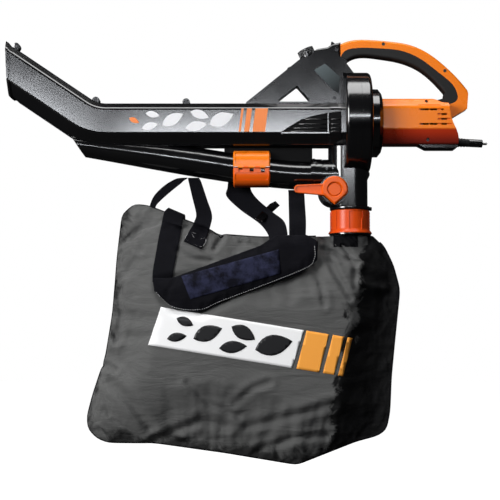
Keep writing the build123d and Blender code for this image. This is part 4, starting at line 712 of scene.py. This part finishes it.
# %% Pad body
pad_back = pad_high.y
pad_mesh = swell("pad_start", "shoulder_pad", 0.72, 0.0045, lambda p: p[1] > pad_back - 0.0035,
                 3.0, -0.02, 0.006, frames=12)
places = points_of(pad_mesh)
for index, (x, y, z) in enumerate(places):
    ripple = 0.0016 * noise(Vector((x * 22.0, 3.0, z * 22.0)))
    if y < pad_back - 0.004:
        places[index, 1] = y + ripple
pad_mesh.vertices.foreach_set("co", places.ravel())
pad = new_piece("shoulder_pad_cover", pad_mesh, material=pad_cloth)
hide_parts("shoulder_pad")
pad_smooth = pad.modifiers.new("smooth", "SUBSURF")
pad_smooth.levels = pad_smooth.render_levels = 1
print("pad:", len(places), "points")
pad_surface = surface_from(pad_mesh)


def near_y(surface, x, z, fallback, lift):
    """The y that lies lift in front of a surface at x, z."""
    hit = surface.ray_cast(Vector((x, -0.3, z)), Vector((0.0, 1.0, 0.0)))
    return fallback if hit[0] is None else hit[0].y - lift


# %% A patch laid on a surface
def patch(name, corners, surface, lift, material, thickness=0.0006, across=60, up=20,
          shape=None):
    """A four-cornered patch (millimetre x, z, from lower left round) laid on a surface."""
    a, b, c, d = (np.array(p) / 1000.0 for p in corners)
    cut = bmesh.new()
    bmesh.ops.create_grid(cut, x_segments=across, y_segments=up, size=0.5, calc_uvs=True)
    for vertex in cut.verts:
        u, v = vertex.co.x + 0.5, vertex.co.y + 0.5
        if shape:
            u, v = shape(u, v)
        x, z = (a * (1 - u) + b * u) * (1 - v) + (d * (1 - u) + c * u) * v
        vertex.co = (x, near_y(surface, x, z, -0.06, lift), z)
    bmesh.ops.recalc_face_normals(cut, faces=cut.faces)
    middle_face = min(cut.faces, key=lambda f: f.calc_center_median().y)
    if middle_face.normal.y > 0:
        bmesh.ops.reverse_faces(cut, faces=cut.faces)
    mesh = bpy.data.meshes.new(name)
    cut.to_mesh(mesh)
    cut.free()
    piece = new_piece(name, mesh, material=material)
    if thickness:
        thick = piece.modifiers.new("thickness", "SOLIDIFY")
        thick.thickness = thickness
        thick.offset = -1.0
    return piece


patch("pad_mesh_panel", ((-463, -607), (-252, -546), (-257, -490), (-485, -552)), pad_surface,
      0.0012, mesh_cloth, thickness=0.0012)
neck_patch = patch("neck_patch_cloth", ((-125, -480), (-68, -481), (-68, -453), (-125, -453)),
                   bag_surface, 0.0016, binding_cloth, thickness=0.0015)
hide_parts("neck_patch")
print("patches laid")


# %% Sewn lines
def cord_along(name, places, radius, material, closed=False, sides=8):
    """A round cord or piping through places, as one mesh."""
    curve = bpy.data.curves.new(name, "CURVE")
    curve.dimensions = "3D"
    curve.bevel_depth = radius
    curve.bevel_resolution = sides // 4
    line = curve.splines.new("POLY")
    line.points.add(len(places) - 1)
    for point, place in zip(line.points, places):
        point.co = (*place, 1.0)
    line.use_cyclic_u = closed
    holder = bpy.data.objects.new(name, curve)
    scene.collection.objects.link(holder)
    bpy.context.view_layer.update()
    mesh = applied(holder)
    bpy.data.objects.remove(holder)
    mesh.name = name
    return new_piece(name, mesh, material=material)


def stitches(name, route, surface, lift, pitch=0.0055, long=0.0036, thick=0.0007, wander=0.0):
    """A row of thread stitches along a route of (x, z) in millimetres, on a surface."""
    line = smooth_line(np.array(route) / 1000.0, 200)
    run = np.concatenate([[0.0], np.cumsum(np.linalg.norm(np.diff(line, axis=0), axis=1))])
    rng = random.Random(name)
    row = bmesh.new()
    for start in np.arange(0.0, run[-1] - long, pitch):
        ends = []
        for s in (start, start + long):
            x, z = np.interp(s, run, line[:, 0]), np.interp(s, run, line[:, 1])
            x, z = x + wander * rng.uniform(-1, 1), z + wander * rng.uniform(-1, 1)
            ends.append(Vector((x, near_y(surface, x, z, -0.06, lift), z)))
        turn = (ends[1] - ends[0]).to_track_quat("Z", "Y").to_matrix().to_4x4()
        place = Matrix.Translation((ends[0] + ends[1]) / 2) @ turn
        bmesh.ops.create_icosphere(row, subdivisions=1, radius=1.0,
                                   matrix=place @ Matrix.Diagonal((thick, thick, long * 0.6, 1.0)))
    mesh = bpy.data.meshes.new(name)
    row.to_mesh(mesh)
    row.free()
    return new_piece(name, mesh, material=thread)


# %% Piping round the bag
section = bmesh.new()
section.from_mesh(bag_mesh)
cut = bmesh.ops.bisect_plane(section, geom=[*section.verts, *section.edges, *section.faces],
                             plane_co=(0, 0, 0), plane_no=(0, 1, 0), clear_inner=True,
                             clear_outer=False)
loop_edges = [e for e in cut["geom_cut"] if isinstance(e, bmesh.types.BMEdge)]
joined = {}
for edge in loop_edges:
    for one, other in (edge.verts, reversed(edge.verts)):
        joined.setdefault(one, []).append(other)
first = min(joined, key=lambda v: (v.co - Vector((-0.15, 0.0, -0.455))).length)
chain, before = [first], None
while True:
    ahead = [v for v in joined[chain[-1]] if v is not before and (v is not first or len(chain) > 9)]
    if not ahead or ahead[0] is first or len(chain) > 4000:
        break
    before = chain[-1]
    chain.append(ahead[0])
seam = np.array([v.co for v in chain])
section.free()
seam = seam[(seam[:, 2] < -0.462) | (seam[:, 0] < -0.16)]
for _ in range(6):
    seam[1:-1] = (seam[:-2] + 2 * seam[1:-1] + seam[2:]) / 4
cord_along("bag_piping", seam[::2], 0.0026, binding_cloth)
print("piping:", len(seam), "points")

# %% Stitching
stitches("pad_stitches", ((-544, -590), (-505, -624), (-441, -630), (-385, -608), (-204, -538),
                          (-174, -512), (-173, -478)), pad_surface, 0.0005)
stitches("strap_box_stitches", ((-476, -464), (-441, -481), (-430, -461), (-465, -446),
                                (-476, -464), (-430, -461), (-441, -481), (-465, -446)),
         bag_surface, 0.0032, pitch=0.004, long=0.0028)
print("stitched")

# %% [markdown]
# # Small rigid forms and prints
# A thin black web closes most of the gap between the tube and the duct under it. Four fine
# ribs run over near-black sheets at the rear of the tube, painted shade for its louvers that
# face down. The prints are plain inks: leaves that blow away from slanted bars, which name nobody.

# %% Web between tube and duct
shells = [surface_from(nodes[name].data)
          for name in ("nozzle_shell_left", "nozzle_shell_right", "outlet_body_left")]


def wall_z(x, start, step):
    """The z of the first wall met from start, going up (1) or down (-1), near the middle plane."""
    best = None
    for y in (-0.006, 0.006):
        for shell in shells:
            hit = shell.ray_cast(Vector((x, y, start)), Vector((0.0, 0.0, step)), 0.08)[0]
            if hit and (best is None or (hit.z - best) * step < 0):
                best = hit.z
    return best


web_left, web_right, web_half = -0.386, -0.174, 0.0045
gap_z, sink = -0.246, 0.001
clip_left, clip_right, above_clip = -0.3645, -0.2755, -0.2510
web = bmesh.new()
rows = []
for x in np.linspace(web_left, web_right, 54):
    top, low = wall_z(x, gap_z, 1.0), wall_z(x, gap_z, -1.0)
    top = -0.236 if top is None else top + sink
    low = -0.262 if low is None else low - sink
    if clip_left < x < clip_right:
        low = max(low, above_clip)
    rows.append([web.verts.new((x, y, z)) for y, z in
                 ((-web_half, top), (-web_half, low), (web_half, low), (web_half, top))])
for one, other in zip(rows, rows[1:]):
    for k in range(4):
        web.faces.new((one[k], one[(k + 1) % 4], other[(k + 1) % 4], other[k]))
web.faces.new(rows[0])
web.faces.new(reversed(rows[-1]))
bmesh.ops.recalc_face_normals(web, faces=web.faces)
mesh = bpy.data.meshes.new("tube_duct_web")
web.to_mesh(mesh)
web.free()
# A matte near-black: the web's own finish, and on the flute sheets below it stands as painted shade.
sweep_black = plastic("sweep_black", (0.0016, 0.0016, 0.002), (0.001, 0.001, 0.0012), 0.55, level=0.12,
                      grain_depth=0.000003)
new_piece("tube_duct_web", mesh, material=sweep_black, smooth=False)
print("web from", web_left, "to", web_right, "m")


# %% Flat shapes on a flat side
def flat_shape(name, outline, y, thickness, material, edge=0.0):
    """A thin plate with its outer face at y, from an outline of (x, z) in millimetres."""
    plate = bmesh.new()
    front = plate.faces.new([plate.verts.new((x / 1000.0, y, z / 1000.0)) for x, z in outline])
    grown = bmesh.ops.extrude_face_region(plate, geom=[front])
    bmesh.ops.translate(plate, verts=[v for v in grown["geom"] if isinstance(v, bmesh.types.BMVert)],
                        vec=(0.0, thickness, 0.0))
    bmesh.ops.recalc_face_normals(plate, faces=plate.faces)
    if edge:
        rim = [e for e in plate.edges if all(abs(v.co.y - y) < 1e-7 for v in e.verts)]
        bmesh.ops.bevel(plate, geom=rim, offset=edge, segments=2, profile=0.5, affect="EDGES",
                        material=-1)
    mesh = bpy.data.meshes.new(name)
    plate.to_mesh(mesh)
    plate.free()
    return new_piece(name, mesh, material=material, smooth=False)


def leaf(x, z, long, wide, turn, count=9):
    """The outline of a pointed leaf centred at x, z, its tip turned by turn degrees."""
    upper = [(long * (s - 0.5), wide / 2 * math.sin(math.pi * s) ** 0.8 * (1.15 - 0.3 * s))
             for s in np.linspace(0.0, 1.0, count)]
    ring = upper + [(a, -b * 0.9) for a, b in upper[-2:0:-1]]
    cos, sin = math.cos(math.radians(turn)), math.sin(math.radians(turn))
    return [(x + a * cos - b * sin, z + a * sin + b * cos) for a, b in ring]


def bar(x, z, long, wide, slant):
    """A slanted bar with its lower left corner at x, z."""
    return [(x, z), (x + long, z), (x + long + slant, z + wide), (x + slant, z + wide)]


side_y = near_y(shells[0], -0.45, -0.17, -0.046, 0.0)
print("tube side at y =", round(side_y, 5))

# %% Flutes at the rear of the tube
collar_y = near_y(surface_from(nodes["fan_housing_front"].data), -0.122, -0.190, side_y, 0.0)
# Two near-black sheets behind the ribs: painted shade where the louvers of the real tube face down.
flat_shape("flute_painted_shade", [(-139.5, -207.6), (-250.0, -207.6), (-228.0, -193.0), (-205.0, -179.5),
                           (-180.0, -170.5), (-158.0, -165.2), (-139.5, -162.0)],
           side_y - 0.0003, 0.0012, sweep_black)
flat_shape("flute_painted_shade_rear", [(-106.5, -207.6), (-136.5, -207.6), (-136.5, -161.5), (-106.5, -158.0)],
           collar_y - 0.0003, 0.0012, sweep_black)
rib_levels = (-177.4, -188.9, -198.6, -206.4)
ribs = [(left, -140.0, z, side_y) for left, z in zip((-203.0, -221.0, -237.0, -247.0), rib_levels)]
ribs += [(-136.0, -107.0, z, collar_y) for z in rib_levels]
for index, (left, right, z, face_y) in enumerate(ribs):
    rib = bmesh.new()
    turn = Matrix.Translation(((left + right) / 2000.0, face_y, z / 1000.0)) @ Matrix.Rotation(
        math.pi / 2, 4, "Y")
    bmesh.ops.create_cone(rib, cap_ends=True, segments=20, radius1=0.0014, radius2=0.0014,
                          depth=(right - left) / 1000.0, matrix=turn)
    mesh = bpy.data.meshes.new(f"flute_rib_{index + 1}")
    rib.to_mesh(mesh)
    rib.free()
    new_piece(mesh.name, mesh, material=black_plastic)
print("collar side at y =", round(collar_y, 5))

# %% Grey panel on the strut: painted reflection and painted shade
strut_y = near_y(surface_from(nodes["rear_strut_left"].data), -0.130, -0.075, -0.022, 0.0)
# The panel is painted grey as a painted reflection of the lamps on its flat facet, and fades to near-black
# toward the lower right as painted shade.
strut_painted_reflection = plastic("painted_reflection_panel", (0.100, 0.125, 0.130), (0.070, 0.090, 0.095), 0.5, level=0.3,
                     grain_size=0.0012, grain_depth=0.00002)
tree = strut_painted_reflection.node_tree
shader = tree.nodes["Principled BSDF"]
axes = add_node(tree, "ShaderNodeSeparateXYZ", {0: add_node(tree, "ShaderNodeTexCoord").outputs["Object"]})
down = calculate(tree, "SUBTRACT", calculate(tree, "MULTIPLY", axes.outputs["X"], 0.7), axes.outputs["Z"])
fade = add_node(tree, "ShaderNodeMapRange", {"Value": down, "From Min": -0.060, "From Max": 0.022})
tree.links.new(mix_colour(tree, fade.outputs[0], shader.inputs["Base Color"].links[0].from_socket,
                          (0.006, 0.008, 0.009)), shader.inputs["Base Color"])
flat_shape("strut_painted_reflection_plate", [(-143.0, -38.0), (-170.0, -53.3), (-122.0, -104.0), (-110.8, -110.0),
                                (-106.8, -70.4)], strut_y - 0.0006, 0.0012, strut_painted_reflection,
           edge=0.0005)
print("strut panel at y =", round(strut_y, 5))
print("flutes laid")


# %% Inks
def ink(name, colour, deep, rough=0.38):
    """A printed ink film."""
    return plastic(name, colour, deep, rough, grain_size=0.0009, grain_depth=0.000004, level=0.4)


white_ink = ink("white_ink", (0.80, 0.80, 0.82), (0.70, 0.70, 0.72))
orange_ink = ink("orange_ink", (0.86, 0.26, 0.055), (0.78, 0.20, 0.040))
bag_white = ink("bag_white_ink", (0.93, 0.93, 0.93), (0.90, 0.90, 0.90), 0.7)
bag_orange = ink("bag_orange_ink", (0.95, 0.40, 0.055), (0.92, 0.36, 0.045), 0.7)
dark_ink = ink("dark_ink", (0.010, 0.010, 0.011), (0.006, 0.006, 0.007))
print_lift, ink_depth = 0.00025, 0.0005
bars = [(bar(x, -207.0, long, 56.0, 7.0), orange_ink)
        for x, long in ((-318.0, 30.0), (-338.0, 12.0), (-351.0, 5.0))]
leaves = [(leaf(x, z, long, wide, turn), white_ink) for x, z, long, wide, turn in (
    (-392.0, -178.0, 62.0, 34.0, 24.0), (-444.0, -166.0, 46.0, 22.0, -18.0),
    (-452.0, -194.0, 52.0, 24.0, 12.0), (-508.0, -178.0, 56.0, 28.0, 30.0),
    (-556.0, -166.0, 34.0, 16.0, -12.0), (-562.0, -194.0, 40.0, 19.0, 16.0))]
last_leaf = (leaf(-600.0, -180.0, 26.0, 13.0, -26.0), orange_ink)
for index, (shape, colour) in enumerate((*bars, *leaves, last_leaf)):
    flat_shape(f"tube_print_{index + 1}", shape, side_y - print_lift, ink_depth, colour)
print("tube printed")


# %% Print on the bag
field_long, field_high = 460.0, 91.0


def bag_mark(name, outline, lift, material):
    """A printed shape laid on the bag, from an outline of (along, up) shares of the field."""
    corners = [np.array(p) / 1000.0 for p in ((-562, -713), (-97, -787), (-83.5, -697), (-546, -622))]
    mark = bmesh.new()
    mark.faces.new([mark.verts.new((u, 0.0, v)) for u, v in outline])
    for axis, count in (((1.0, 0.0, 0.0), 70), ((0.0, 0.0, 1.0), 16)):
        for cut_at in np.linspace(0.0, 1.0, count + 1)[1:-1]:
            bmesh.ops.bisect_plane(mark, geom=[*mark.verts, *mark.edges, *mark.faces],
                                   plane_co=[cut_at * c for c in axis], plane_no=axis)
    for vertex in mark.verts:
        u, v = vertex.co.x, vertex.co.z
        x, z = ((corners[0] * (1 - u) + corners[1] * u) * (1 - v)
                + (corners[3] * (1 - u) + corners[2] * u) * v)
        vertex.co = (x, near_y(bag_surface, x, z, -0.05, lift), z)
    bmesh.ops.recalc_face_normals(mark, faces=mark.faces)
    if sum(f.normal.y for f in mark.faces) > 0:
        bmesh.ops.reverse_faces(mark, faces=mark.faces)
    mesh = bpy.data.meshes.new(name)
    mark.to_mesh(mesh)
    mark.free()
    piece = new_piece(name, mesh, material=material)
    thick = piece.modifiers.new("thickness", "SOLIDIFY")
    thick.thickness = 0.0004
    thick.offset = -1.0
    return piece


def in_field(outline):
    """Millimetre points of the field as shares of it."""
    return [(x / field_long, z / field_high) for x, z in outline]


field_lift, leaf_lift = 0.0016, 0.0024
bag_mark("bag_print_field", in_field([(0, 0), (332, 0), (346, field_high), (14, field_high)]),
         field_lift, bag_white)
for index, (start, width) in enumerate(((342, 52), (403, 26), (438, 12))):
    end = min(field_long, start + width + 10)
    outline = [(start, 0), (start + width, 0), (end, field_high), (start + 10, field_high)]
    bag_mark(f"bag_print_bar_{index + 1}", in_field(outline), field_lift, bag_orange)
for index, shape in enumerate((
        leaf(283, 45, 88, 50, 22), leaf(210, 62, 62, 34, -20), leaf(192, 26, 64, 30, 14),
        leaf(130, 48, 70, 38, 30), leaf(74, 66, 42, 22, -14), leaf(62, 28, 46, 22, 18))):
    bag_mark(f"bag_print_leaf_{index + 1}", in_field(shape), leaf_lift, dark_ink)
print("prints laid")
